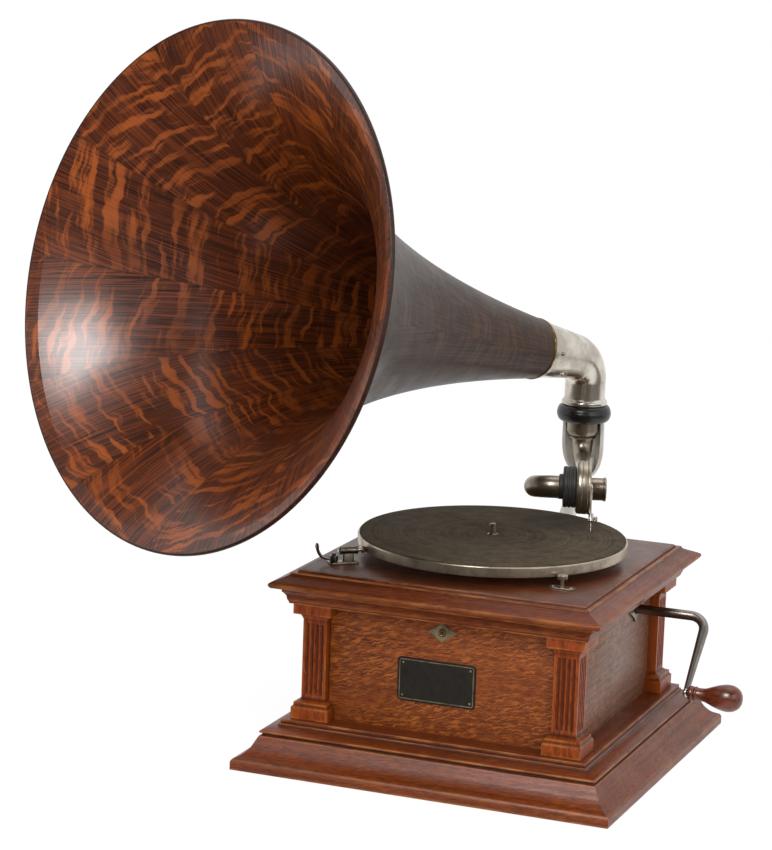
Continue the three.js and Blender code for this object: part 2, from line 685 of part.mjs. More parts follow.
// Corner post with fluted outer faces, a base block and a capital, at the +X +Y corner.
function postGeometry() {
  const postInner = POST_HALF - POST_WIDTH;
  const blockInner = POST_BLOCK_HALF - POST_BLOCK_WIDTH;
  const low = PLINTH_TOP + SEAT_GAP;
  const high = FRIEZE_BOTTOM - SEAT_GAP;
  const baseTop = low + POST_BASE_HEIGHT;
  const shaftLow = baseTop + POST_BASE_BEAD;
  const shaftHigh = high - POST_CAPITAL_HEIGHT - POST_CAPITAL_COVE;
  const square = (inside, outside, height) => [
    new THREE.Vector3(inside, inside, height), new THREE.Vector3(outside, inside, height),
    new THREE.Vector3(outside, outside, height), new THREE.Vector3(inside, outside, height),
  ];
  const beadHalf = POST_BLOCK_HALF - (POST_BLOCK_HALF - POST_HALF) / 4;
  const coveHalf = POST_HALF + (POST_BLOCK_HALF - POST_HALF) / 4;
  const swell = POST_BLOCK_HALF - beadHalf;
  const narrow = coveHalf - POST_HALF;
  const body = loft([
    square(blockInner, POST_BLOCK_HALF, low),
    square(blockInner, POST_BLOCK_HALF, baseTop - swell),
    square(blockInner + swell, beadHalf, baseTop),
    square(blockInner + swell, beadHalf, baseTop + POST_BASE_BEAD / 2),
    square(postInner - narrow, coveHalf, baseTop + (POST_BASE_BEAD * 3) / 4),
    square(postInner, POST_HALF, shaftLow),
    square(postInner, POST_HALF, shaftHigh),
    square(postInner - narrow, coveHalf, shaftHigh + (POST_CAPITAL_COVE * 3) / 4),
    square(blockInner, POST_BLOCK_HALF, shaftHigh + POST_CAPITAL_COVE),
    square(blockInner, POST_BLOCK_HALF, high),
  ]);
  const cuts = [];
  const flutePitch = POST_WIDTH / (FLUTE_COUNT + 1);
  const fluteOut = POST_HALF + FLUTE_RADIUS - FLUTE_DEPTH;
  for (let i = 1; i <= FLUTE_COUNT; i += 1) {
    const across = postInner + i * flutePitch;
    const flute = () => rod(FLUTE_RADIUS, shaftLow + FLUTE_END_MARGIN, shaftHigh - FLUTE_END_MARGIN, 8);
    cuts.push(flute().translate(across, fluteOut, 0));
    cuts.push(flute().translate(fluteOut, across, 0));
  }
  const clear = SEAT_GAP;
  const boardInner = CASE_HALF - BOARD_THICKNESS - clear;
  const reach = POST_BLOCK_HALF;
  cuts.push(boxBetween([0, boardInner, 0], [postInner, CASE_HALF + clear, reach + high]));
  cuts.push(boxBetween([boardInner, 0, 0], [CASE_HALF + clear, postInner, reach + high]));
  cuts.push(boxBetween([0, 0, 0], [boardInner, boardInner, reach + high]));
  const foot = boxBetween(
    [postInner, postInner, BOTTOM_BOARD_THICKNESS + SEAT_GAP],
    [CASE_HALF, CASE_HALF, low + POST_BASE_HEIGHT / 2],
  );
  const head = boxBetween(
    [postInner, postInner, high - POST_CAPITAL_HEIGHT / 2],
    [CASE_HALF, CASE_HALF, CASE_TOP],
  );
  return shaped([body, foot, head], cuts);
}

// Four corner posts.
function buildPosts() {
  const corners = ['back_right', 'back_left', 'front_left', 'front_right'];
  corners.forEach((corner, i) => {
    add(part, `post_${corner}`, postGeometry().rotateZ(i * RIGHT_ANGLE), MOULDING_OAK);
  });
}

// Thin plate standing on the front panel; its outline is drawn in X and Z.
function frontPlate(shape, thickness, curveSegments) {
  return plateOf(shape, thickness, curveSegments).rotateX(RIGHT_ANGLE)
    .translate(0, -CASE_HALF - SEAT_GAP, 0);
}

// Diamond outline about the origin.
function diamond(width, drop) {
  return outline([[-width / 2, 0], [0, -drop / 2], [width / 2, 0], [0, drop / 2]]);
}

// Lock with its turning cylinder, bare name plate and crank plate.
function buildTrim() {
  const lockShape = diamond(LOCK_PLATE_WIDTH, LOCK_PLATE_DROP);
  lockShape.holes.push(roundHole(LOCK_CYLINDER_RADIUS + RUNNING_GAP));
  const lock = frontPlate(lockShape, TRIM_THICKNESS, 8);
  add(part, 'lock_plate', lock.translate(0, 0, LOCK_HEIGHT), NICKEL);

  const face = TRIM_THICKNESS + SEAT_GAP + LOCK_CYLINDER_PROUD;
  const slotReach = LOCK_CYLINDER_RADIUS * KEY_SLOT_REACH_SHARE;
  const slot = boxBetween(
    [-KEY_SLOT_WIDTH / 2, -slotReach, face - KEY_SLOT_DEPTH],
    [KEY_SLOT_WIDTH / 2, slotReach, face + CUT_OVERRUN],
  );
  const cylinder = shaped([rod(LOCK_CYLINDER_RADIUS, face - LOCK_CYLINDER_LENGTH, face, 16)], [slot]);
  cylinder.rotateX(RIGHT_ANGLE).translate(0, -CASE_HALF, LOCK_HEIGHT);
  add(part, 'lock_cylinder', cylinder, BRASS);

  const right = NAME_PLATE_WIDTH / 2;
  const top = NAME_PLATE_DROP / 2;
  const round = NAME_PLATE_CORNER;
  const plate = new THREE.Shape();
  plate.moveTo(-right + round, -top);
  plate.lineTo(right - round, -top);
  plate.absarc(right - round, -top + round, round, -RIGHT_ANGLE, 0, false);
  plate.lineTo(right, top - round);
  plate.absarc(right - round, top - round, round, 0, RIGHT_ANGLE, false);
  plate.lineTo(-right + round, top);
  plate.absarc(-right + round, top - round, round, RIGHT_ANGLE, Math.PI, false);
  plate.lineTo(-right, -top + round);
  plate.absarc(-right + round, -top + round, round, Math.PI, Math.PI + RIGHT_ANGLE, false);
  add(part, 'name_plate', frontPlate(plate, TRIM_THICKNESS, 4)
    .translate(NAME_PLATE_CENTRE_X, 0, NAME_PLATE_HEIGHT), PLATE_BLACK);

  const crankShape = diamond(CRANK_PLATE_WIDTH, CRANK_PLATE_DROP);
  crankShape.holes.push(roundHole(CRANK_SHAFT_RADIUS + RUNNING_GAP));
  const crankPlate = plateOf(crankShape, TRIM_THICKNESS, 8).rotateX(RIGHT_ANGLE).rotateZ(RIGHT_ANGLE);
  add(part, 'crank_plate', crankPlate.translate(CASE_HALF + SEAT_GAP, CRANK_Y, CRANK_HEIGHT), NICKEL);
}

// Places of the motor's axes, from the crank, the spindle and the gears' pitch circles.
function motorPlan() {
  const windingDistance = ((WINDING_TEETH + CRANK_PINION_TEETH) * WINDING_MODULE) / 2;
  const barrelY = TABLE_Y + Math.sqrt(TRAIN_DISTANCE ** 2 - INTERMEDIATE_DROP ** 2);
  const barrelZ = CRANK_HEIGHT - Math.sqrt(windingDistance ** 2 - (CRANK_Y - barrelY) ** 2);
  const crownRadius = (CROWN_TEETH * SPUR_MODULE) / 2;
  const wormHelix = RIGHT_ANGLE - WORM_WHEEL_HELIX;
  const wheelRadius = (WORM_WHEEL_TEETH * WORM_MODULE) / (2 * Math.cos(WORM_WHEEL_HELIX));
  const wormRadius = (WORM_STARTS * WORM_MODULE) / (2 * Math.cos(wormHelix));
  return {
    barrelY,
    barrelZ,
    layshaftZ: barrelZ - INTERMEDIATE_DROP,
    pinionHeight: barrelZ - INTERMEDIATE_DROP + crownRadius,
    crownRadius,
    wormHelix,
    wheelRadius,
    wormRadius,
    governorY: TABLE_Y - wheelRadius - wormRadius,
  };
}

// Turntable, felt and spindle with its pinion and worm wheel.
function buildTurntable(plan) {
  const group = new THREE.Group();
  group.position.set(0, TABLE_Y, 0);
  part.add(group);
  const under = TABLE_TOP - TABLE_PLATE_THICKNESS;
  const wallInner = TABLE_RADIUS - TABLE_RIM_WALL;
  const bore = SPINDLE_PIN_RADIUS + SEAT_GAP;
  const hubBottom = SPINDLE_SHOULDER_TOP + SEAT_GAP;
  const rimRound = TABLE_RIM_WALL / 4;
  add(group, 'turntable', turned([
    [bore, hubBottom], [TABLE_HUB_RADIUS, hubBottom], [TABLE_HUB_RADIUS + TABLE_RIM_WALL, under],
    [wallInner, under], [wallInner, TABLE_RIM_BOTTOM], [TABLE_RADIUS, TABLE_RIM_BOTTOM],
    [TABLE_RADIUS, TABLE_TOP - rimRound], [TABLE_RADIUS - rimRound, TABLE_TOP], [bore, TABLE_TOP],
    [bore, hubBottom],
  ], 40), NICKEL);
  const feltBottom = TABLE_TOP + SEAT_GAP;
  add(group, 'turntable_felt', ring(bore, TABLE_RADIUS - FELT_MARGIN, feltBottom,
    feltBottom + FELT_THICKNESS, 40), FELT);

  const pinionLow = plan.pinionHeight - (GEAR_WIDTH * 3) / 4;
  const foot = pinionLow - GEAR_WIDTH;
  const tipRound = SPINDLE_PIN_RADIUS / 2;
  const pin = turned([
    [0, foot], [SPINDLE_RADIUS / 2, foot], [SPINDLE_RADIUS, foot + SPINDLE_RADIUS / 2],
    [SPINDLE_RADIUS, SPINDLE_SHOULDER_BOTTOM], [SPINDLE_SHOULDER_RADIUS, SPINDLE_SHOULDER_BOTTOM],
    [SPINDLE_SHOULDER_RADIUS, SPINDLE_SHOULDER_TOP], [SPINDLE_PIN_RADIUS, SPINDLE_SHOULDER_TOP],
    [SPINDLE_PIN_RADIUS, SPINDLE_TIP - tipRound],
    [SPINDLE_PIN_RADIUS * SPINDLE_TIP_SHARE, SPINDLE_TIP - tipRound / 4],
    [0, SPINDLE_TIP],
  ], 16);
  const pinion = spurGear(PINION_TEETH, SPUR_MODULE, (GEAR_WIDTH * 3) / 2, 0).translate(0, 0, pinionLow);
  add(group, 'spindle', shaped([pin, pinion]), DARK_STEEL);

  const width = GEAR_WIDTH;
  const twist = (width * Math.tan(WORM_WHEEL_HELIX)) / plan.wheelRadius;
  const wheel = helicalGear(WORM_WHEEL_TEETH, plan.wheelRadius, WORM_MODULE, width, twist, 1, -RIGHT_ANGLE);
  const boreCut = rod(SPINDLE_RADIUS + SEAT_GAP, -width, width, 16);
  const worm = shaped([wheel], [boreCut]);
  add(group, 'spindle_worm_wheel', worm.translate(0, 0, WORM_HEIGHT), BRASS);
}

// Spring barrel with its great wheel, cover, main spring, and the arbor with its winding gear.
function buildBarrel(plan) {
  const group = new THREE.Group();
  group.position.set(0, plan.barrelY, plan.barrelZ);
  part.add(group);
  const right = BARREL_LEFT + BARREL_LENGTH;
  const bore = ARBOR_RADIUS + RUNNING_GAP;
  const shell = alongX(turned([
    [bore, BARREL_LEFT - GEAR_WIDTH / 2], [BARREL_RADIUS, BARREL_LEFT - GEAR_WIDTH / 2],
    [BARREL_RADIUS, right], [BARREL_RADIUS - BARREL_WALL, right],
    [BARREL_RADIUS - BARREL_WALL, BARREL_LEFT + BARREL_WALL], [bore, BARREL_LEFT + BARREL_WALL],
    [bore, BARREL_LEFT - GEAR_WIDTH / 2],
  ], 24));
  const toothTurn = Math.atan2(INTERMEDIATE_DROP, plan.barrelY - TABLE_Y);
  const greatWheel = axleGear(GREAT_TEETH, SPUR_MODULE, GEAR_WIDTH, bore, Math.PI + toothTurn)
    .translate(BARREL_LEFT - GEAR_WIDTH, 0, 0);
  add(group, 'spring_barrel', shaped([shell, greatWheel]), BRASS);
  const coverRadius = BARREL_RADIUS - BARREL_WALL - SEAT_GAP;
  add(group, 'barrel_cover', alongX(ring(bore, coverRadius, right - BARREL_WALL, right, 24)), BRASS);
  add(group, 'main_spring', mainSpring(right), DARK_STEEL);

  const arborLeft = LEFT_CHEEK;
  const arborRight = RIGHT_CHEEK + CHEEK_THICKNESS + SEAT_GAP;
  const windingLeft = windingGearLeft();
  const gapAngle = towardsCrank(plan) + Math.PI / WINDING_TEETH;
  const gear = axleGear(WINDING_TEETH, WINDING_MODULE, GEAR_WIDTH, 0, gapAngle)
    .translate(windingLeft, 0, 0);
  const arbor = alongX(rod(ARBOR_RADIUS, arborLeft, arborRight, 16));
  add(group, 'winding_arbor', shaped([arbor, gear]), DARK_STEEL);
}

// Left face of the winding gear, between the barrel's cover and the right cheek.
function windingGearLeft() {
  const gapLeft = BARREL_LEFT + BARREL_LENGTH;
  return (gapLeft + RIGHT_CHEEK) / 2;
}

// Direction from the winding gear to the crank, from +Y towards +Z.
function towardsCrank(plan) {
  return Math.atan2(CRANK_HEIGHT - plan.barrelZ, CRANK_Y - plan.barrelY);
}

// Flat strip wound from the arbor to the barrel's wall.
function mainSpring(right) {
  const inner = ARBOR_RADIUS + 4 * RUNNING_GAP;
  const outer = BARREL_RADIUS - BARREL_WALL - 2 * RUNNING_GAP - SPRING_STRIP;
  const middle = (BARREL_LEFT + BARREL_WALL + right - BARREL_WALL) / 2;
  const steps = 14 * SPRING_TURNS;
  const rings = [];
  for (let i = 0; i <= steps; i += 1) {
    const share = i / steps;
    const angle = FULL_TURN * SPRING_TURNS * share;
    const radius = inner + (outer - inner) * share;
    const direction = new THREE.Vector3(0, Math.cos(angle), Math.sin(angle));
    const at = (r, x) => direction.clone().multiplyScalar(r).setX(x);
    rings.push([
      at(radius, middle - SPRING_WIDTH / 2), at(radius + SPRING_STRIP, middle - SPRING_WIDTH / 2),
      at(radius + SPRING_STRIP, middle + SPRING_WIDTH / 2), at(radius, middle + SPRING_WIDTH / 2),
    ]);
  }
  return loft(rings);
}

// Layshaft with its pinion, and the crown wheel that drives the spindle.
function buildLayshaft(plan) {
  const group = new THREE.Group();
  group.position.set(0, TABLE_Y, plan.layshaftZ);
  part.add(group);
  const pinionLeft = BARREL_LEFT - GEAR_WIDTH - GEAR_WIDTH / 6;
  const toothTurn = Math.atan2(INTERMEDIATE_DROP, plan.barrelY - TABLE_Y);
  const gapAngle = toothTurn + Math.PI / PINION_TEETH;
  const pinion = axleGear(PINION_TEETH, SPUR_MODULE, (GEAR_WIDTH * 4) / 3, 0, gapAngle)
    .translate(pinionLeft, 0, 0);
  const crownFace = -(PINION_TEETH * SPUR_MODULE) / 2 - TOOTH.dedendumShare * SPUR_MODULE;
  const discLeft = crownFace - GEAR_WIDTH / 2;
  const shaft = alongX(rod(LAYSHAFT_RADIUS, LEFT_CHEEK, discLeft + GEAR_WIDTH / 2, 12));
  add(group, 'layshaft', shaped([shaft, pinion]), DARK_STEEL);

  const outer = plan.crownRadius + GEAR_WIDTH / 2;
  const disc = alongX(ring(LAYSHAFT_RADIUS + SEAT_GAP, outer, discLeft, crownFace, 36));
  const teeth = [];
  const pitch = FULL_TURN / CROWN_TEETH;
  const height = (TOOTH.addendumShare + TOOTH.dedendumShare) * SPUR_MODULE * CROWN_REACH_SHARE;
  for (let i = 0; i < CROWN_TEETH; i += 1) {
    teeth.push(crownTooth(plan, height).translate(crownFace, 0, 0).rotateX((i + 1 / 2) * pitch));
  }
  add(group, 'crown_wheel', shaped([disc, ...teeth]), BRASS);
}

// Tooth that stands on the crown wheel's face at its top, sunk a little into the face.
function crownTooth(plan, height) {
  const pitch = Math.PI * SPUR_MODULE;
  const root = pitch * CROWN_ROOT_SHARE;
  const tip = pitch * CROWN_TIP_SHARE;
  const depth = GEAR_WIDTH / 12;
  const section = (radius, share) => [
    new THREE.Vector3(-depth, -root * share, radius), new THREE.Vector3(0, -root * share, radius),
    new THREE.Vector3(height, -tip * share, radius), new THREE.Vector3(height, tip * share, radius),
    new THREE.Vector3(0, root * share, radius), new THREE.Vector3(-depth, root * share, radius),
  ];
  const inside = plan.crownRadius - GEAR_WIDTH / 2;
  const outside = plan.crownRadius + GEAR_WIDTH / 2;
  return loft([section(inside, inside / plan.crownRadius), section(outside, 1)]);
}

// Governor: shaft with worm, disc on its sleeve, and three weights on leaf springs.
function buildGovernor(plan) {
  const group = new THREE.Group();
  group.position.set(0, plan.governorY, WORM_HEIGHT);
  part.add(group);
  const collarRadius = GOVERNOR_COLLAR_RADIUS;
  const collarWidth = GEAR_WIDTH;
  const collarLeft = WORM_LENGTH;
  const right = GOVERNOR_RIGHT + CHEEK_THICKNESS;
  const twist = (WORM_LENGTH * Math.tan(plan.wormHelix)) / plan.wormRadius;
  const worm = alongX(
    helicalGear(WORM_STARTS, plan.wormRadius, WORM_MODULE, WORM_LENGTH, twist, 26, WORM_TURN),
  );
  const shaft = alongX(rod(GOVERNOR_SHAFT_RADIUS, MIDDLE_CHEEK, right, 12));
  const collar = alongX(rod(collarRadius, collarLeft, collarLeft + collarWidth, 16));
  add(group, 'governor_shaft', shaped([shaft, worm, collar]), DARK_STEEL);

  const discRight = governorDiscFace();
  const discThickness = GEAR_WIDTH / 3;
  const sleeveLeft = discRight - discThickness - collarWidth;
  const bore = GOVERNOR_SHAFT_RADIUS + RUNNING_GAP;
  const discRadius = GOVERNOR_DISC_RADIUS;
  add(group, 'governor_disc', alongX(turned([
    [bore, sleeveLeft], [collarRadius, sleeveLeft], [collarRadius, discRight - discThickness],
    [discRadius, discRight - discThickness], [discRadius, discRight], [bore, discRight], [bore, sleeveLeft],
  ], 18)), BRASS);

  const leaf = GOVERNOR_LEAF_THICKNESS;
  const leafWidth = GOVERNOR_LEAF_WIDTH;
  const ball = GOVERNOR_WEIGHT_RADIUS;
  const leafLow = collarRadius + SEAT_GAP;
  for (let i = 0; i < 3; i += 1) {
    const strip = boxBetween(
      [collarLeft, -leafWidth / 2, leafLow],
      [discRight - discThickness - SEAT_GAP, leafWidth / 2, leafLow + leaf],
    );
    const weight = new THREE.SphereGeometry(ball, 8, 6);
    weight.translate((collarLeft + collarWidth + sleeveLeft) / 2, 0, leafLow + GOVERNOR_WEIGHT_RISE);
    const piece = shaped([strip, weight]).rotateX((FULL_TURN * i) / 3);
    add(group, `governor_weight_${i + 1}`, piece, DARK_STEEL);
  }
}

// Right face of the governor's disc.
function governorDiscFace() {
  return GOVERNOR_RIGHT - (GEAR_WIDTH * 5) / 3;
}

// Cast frame with its cheeks, the governor's strap, the spindle's step and the four bosses.
function buildFrame(plan) {
  const bedTop = BED_BOTTOM + BED_THICKNESS;
  const bed = boxBetween([BED_LEFT, BED_FRONT, BED_BOTTOM], [BED_RIGHT, BED_BACK, bedTop]);
  const sink = BED_THICKNESS / 2;
  const cheek = (x, yLow, yHigh, zLow) => boxBetween(
    [x, yLow, zLow],
    [x + CHEEK_THICKNESS, yHigh, BED_BOTTOM + sink],
  );
  const shoulder = CHEEK_SHOULDER;
  const left = cheek(LEFT_CHEEK, TABLE_Y - shoulder, plan.barrelY + shoulder, plan.layshaftZ - shoulder);
  const ear = shoulder / 2;
  const middle = cheek(MIDDLE_CHEEK, plan.governorY - ear, TABLE_Y + ear, plan.layshaftZ - ear);
  const rightCheek = cheek(RIGHT_CHEEK, plan.barrelY - shoulder, CRANK_Y + shoulder, plan.barrelZ - shoulder);
  const strap = cheek(GOVERNOR_RIGHT, plan.governorY - ear, plan.governorY + ear, WORM_HEIGHT - ear);
  const stepTop = plan.pinionHeight - (GEAR_WIDTH * 3) / 4 - GEAR_WIDTH - SEAT_GAP;
  const stepBottom = stepTop - GEAR_WIDTH;
  const stepHalf = STEP_HALF;
  const foot = boxBetween(
    [-stepHalf, TABLE_Y - stepHalf, stepBottom],
    [RIGHT_CHEEK + CHEEK_THICKNESS, TABLE_Y + stepHalf, stepTop],
  );
  const post = boxBetween(
    [RIGHT_CHEEK, TABLE_Y - stepHalf, stepBottom],
    [RIGHT_CHEEK + CHEEK_THICKNESS, TABLE_Y + stepHalf, BED_BOTTOM + sink],
  );
  const joined = [bed, left, middle, rightCheek, strap, foot, post];
  const margin = 2 * BOSS_RADIUS;
  for (const x of [BED_LEFT + margin, BED_RIGHT - margin]) {
    for (const y of [BED_FRONT + margin, BED_BACK - margin]) {
      joined.push(rod(BOSS_RADIUS, bedTop - sink, LID_REBATE_HEIGHT, 12).translate(x, y, 0));
    }
  }
  const holeLeft = BED_LEFT - CUT_OVERRUN;
  const holeRight = BED_RIGHT + CUT_OVERRUN;
  const hole = (radius, y, z) => alongX(rod(radius + RUNNING_GAP, holeLeft, holeRight, 12)).translate(0, y, z);
  const spindleWay = rod(SPINDLE_RADIUS + RUNNING_GAP, BED_BOTTOM - CUT_OVERRUN, bedTop + CUT_OVERRUN, 16)
    .translate(0, TABLE_Y, 0);
  const cuts = [
    hole(ARBOR_RADIUS, plan.barrelY, plan.barrelZ),
    hole(CRANK_SHAFT_RADIUS, CRANK_Y, CRANK_HEIGHT),
    hole(LAYSHAFT_RADIUS, TABLE_Y, plan.layshaftZ),
    hole(GOVERNOR_SHAFT_RADIUS, plan.governorY, WORM_HEIGHT),
    spindleWay,
  ];
  add(part, 'motor_frame', shaped(joined, cuts), CAST_IRON);
}

// Crank with its pinion and turning wooden knob.
function buildCrank(plan) {
  const group = new THREE.Group();
  group.position.set(0, CRANK_Y, CRANK_HEIGHT);
  group.rotation.x = -CRANK_REST_ANGLE;
  part.add(group);
  const along = new THREE.Vector3(1, 0, 0);
  const down = new THREE.Vector3(0, 0, -1);
  const gearLeft = windingGearLeft();
  const inner = gearLeft - SEAT_GAP;
  const corner = new THREE.Vector3(CRANK_REACH, 0, 0);
  const arc = bend(corner, along, down, CRANK_BEND_RADIUS, 6);
  const path = [new THREE.Vector3(inner, 0, 0), ...arc, new THREE.Vector3(CRANK_REACH, 0, -CRANK_THROW)];
  const radii = path.map((point, i) => (i === path.length - 1 ? CRANK_TIP_RADIUS : CRANK_SHAFT_RADIUS));
  const bar = taperedBar(path, radii, new THREE.Vector3(0, 1, 0), 14);
  const eye = alongX(rod(CRANK_EYE_RADIUS, -CRANK_TIP_RADIUS, CRANK_TIP_RADIUS, 14))
    .translate(CRANK_REACH, 0, -CRANK_THROW);
  const eyeFace = CRANK_REACH + CRANK_TIP_RADIUS;
  const pin = alongX(rod(KNOB_PIN_RADIUS, CRANK_REACH, eyeFace + KNOB_LENGTH - KNOB_RADIUS / 2, 10))
    .translate(0, 0, -CRANK_THROW);
  add(group, 'crank', shaped([bar, eye, pin]), DARK_STEEL);

  const toothAngle = towardsCrank(plan) + Math.PI + CRANK_REST_ANGLE;
  const bore = CRANK_SHAFT_RADIUS + SEAT_GAP;
  const pinion = axleGear(CRANK_PINION_TEETH, WINDING_MODULE, GEAR_WIDTH, bore, toothAngle)
    .translate(gearLeft, 0, 0);
  add(group, 'crank_pinion', pinion, DARK_STEEL);

  const knobFace = eyeFace + SEAT_GAP;
  const knobBore = KNOB_PIN_RADIUS + RUNNING_GAP;
  const knob = KNOB_SHARES.map(([length, radius]) => [radius * KNOB_RADIUS, length * KNOB_LENGTH]);
  const depth = KNOB_LENGTH - KNOB_RADIUS / 2 + SEAT_GAP;
  const profile = [[0, depth], [knobBore, depth], [knobBore, 0], ...knob];
  add(group, 'crank_knob', alongX(turned(profile, 16)).translate(knobFace, 0, -CRANK_THROW), KNOB_WOOD);
}

// Tone arm: cup, bend, tapered tube and cross tube, in a group turned to the arm's place.
function buildToneArm() {
  const group = new THREE.Group();
  group.position.set(0, PIVOT_Y, 0);
  group.rotation.z = ARM_ANGLE;
  part.add(group);
  const crossZ = CROSS_HEIGHT;
  const downward = new THREE.Vector3(0, 0, -1);
  const forward = new THREE.Vector3(0, -1, 0);
  const corner = new THREE.Vector3(0, 0, crossZ);
  const arc = bend(corner, downward, forward, ARM_BEND_RADIUS, 6);
  const top = new THREE.Vector3(0, 0, ARM_CUP_BOTTOM + CROSS_BEAD);
  const path = [top, ...arc, new THREE.Vector3(0, -CROSS_REACH, crossZ)];
  const radii = path.map((point, i) => {
    if (i === 0) {
      return ARM_ROOT_RADIUS;
    }
    if (i === path.length - 1) {
      return ARM_TIP_RADIUS;
    }
    return ARM_ROOT_RADIUS + ((ARM_KNEE_RADIUS - ARM_ROOT_RADIUS) * (i - 1 / 2)) / (path.length - 5 / 2);
  });
  const tube = taperedBar(path, radii, new THREE.Vector3(1, 0, 0), 16);
  const knuckleBottom = KNUCKLE_HEIGHT - KNUCKLE_DEPTH / 2;
  const flangeLow = ledgeHeight() + SEAT_GAP;
  const flangeHigh = elbowSeat() - SEAT_GAP;
  const round = (ARM_CUP_RADIUS - ARM_ROOT_RADIUS) / 2;
  const cup = turned([
    [0, ARM_CUP_BOTTOM], [ARM_CUP_RADIUS - 2 * round, ARM_CUP_BOTTOM],
    [ARM_CUP_RADIUS - round / 2, ARM_CUP_BOTTOM + round / 2],
    [ARM_CUP_RADIUS, ARM_CUP_BOTTOM + 2 * round], [ARM_CUP_RADIUS, knuckleBottom],
    [ARM_CUP_RADIUS, flangeLow], [ARM_FLANGE_RADIUS, flangeLow], [ARM_FLANGE_RADIUS, flangeHigh],
    [ARM_ROOT_RADIUS, flangeHigh], [ARM_ROOT_RADIUS - round, ARM_CUP_BOTTOM + 2 * round],
    [0, ARM_CUP_BOTTOM + 2 * round],
  ], 22);
  const bead = CROSS_RADIUS + CROSS_BEAD;
  const cross = alongX(turned([
    [0, CROSS_LEFT], [CROSS_RADIUS, CROSS_LEFT], [CROSS_RADIUS, CROSS_RIGHT - 3 * CROSS_BEAD],
    [bead, CROSS_RIGHT - 2 * CROSS_BEAD], [bead, CROSS_RIGHT - CROSS_BEAD], [CROSS_RADIUS, CROSS_RIGHT],
    [0, CROSS_RIGHT],
  ], 24)).translate(0, -CROSS_REACH, crossZ);
  const bore = alongX(rod(CROSS_BORE, CROSS_LEFT - CUT_OVERRUN, CROSS_LEFT + CROSS_BORE_DEPTH, 20))
    .translate(0, -CROSS_REACH, crossZ);
  add(group, 'tone_arm', shaped([tube, cup, cross], [bore]), NICKEL);
  buildGooseneck(group, crossZ);
}

// U-shaped gooseneck from the cross tube to the sound box, and the sound box itself.
function buildGooseneck(armGroup, crossZ) {
  const boxZ = FELT_TOP + SOUNDBOX_LIFT;
  const spread = Math.hypot(SOUNDBOX_REACH - CROSS_REACH, boxZ - crossZ);
  const rise = Math.atan2(boxZ - crossZ, SOUNDBOX_REACH - CROSS_REACH);
  const group = new THREE.Group();
  group.position.set(0, -CROSS_REACH, crossZ);
  group.rotation.x = -rise;
  armGroup.add(group);
  const radius = spread / 2;
  const shoulder = CROSS_LEFT - SEAT_GAP;
  const tubeEnd = BOX_BACK - SEAT_GAP;
  const path = [new THREE.Vector3(shoulder, 0, 0)];
  const steps = 8;
  for (let i = 0; i <= steps; i += 1) {
    const angle = (Math.PI * i) / steps;
    path.push(new THREE.Vector3(
      GOOSENECK_BEND_X - radius * Math.sin(angle), -radius + radius * Math.cos(angle), 0,
    ));
  }
  path.push(new THREE.Vector3(RUBBER_COLLAR_BACK, -spread, 0));
  const wide = path.map(() => GOOSENECK_RADIUS);
  const upward = new THREE.Vector3(0, 0, 1);
  const outer = taperedBar(path, wide, upward, 14);
  const spigotEnd = shoulder + GOOSENECK_SPIGOT_LENGTH;
  const spigot = alongX(rod(GOOSENECK_SPIGOT_RADIUS, shoulder - CUT_OVERRUN, spigotEnd, 18));
  const sleeve = alongX(rod(GOOSENECK_SPIGOT_RADIUS, RUBBER_COLLAR_BACK - CUT_OVERRUN, tubeEnd, 18))
    .translate(0, -spread, 0);
  const borePath = [
    new THREE.Vector3(spigotEnd + CUT_OVERRUN, 0, 0), ...path,
    new THREE.Vector3(tubeEnd + CUT_OVERRUN, -spread, 0),
  ];
  const narrow = borePath.map(() => GOOSENECK_BORE_RADIUS);
  const bore = taperedBar(borePath, narrow, upward, 8);
  add(group, 'gooseneck', shaped([outer, spigot, sleeve], [bore]), NICKEL);

  const box = new THREE.Group();
  box.position.set(0, -spread, 0);
  group.add(box);
  buildSoundbox(box, boxZ, rise);
}

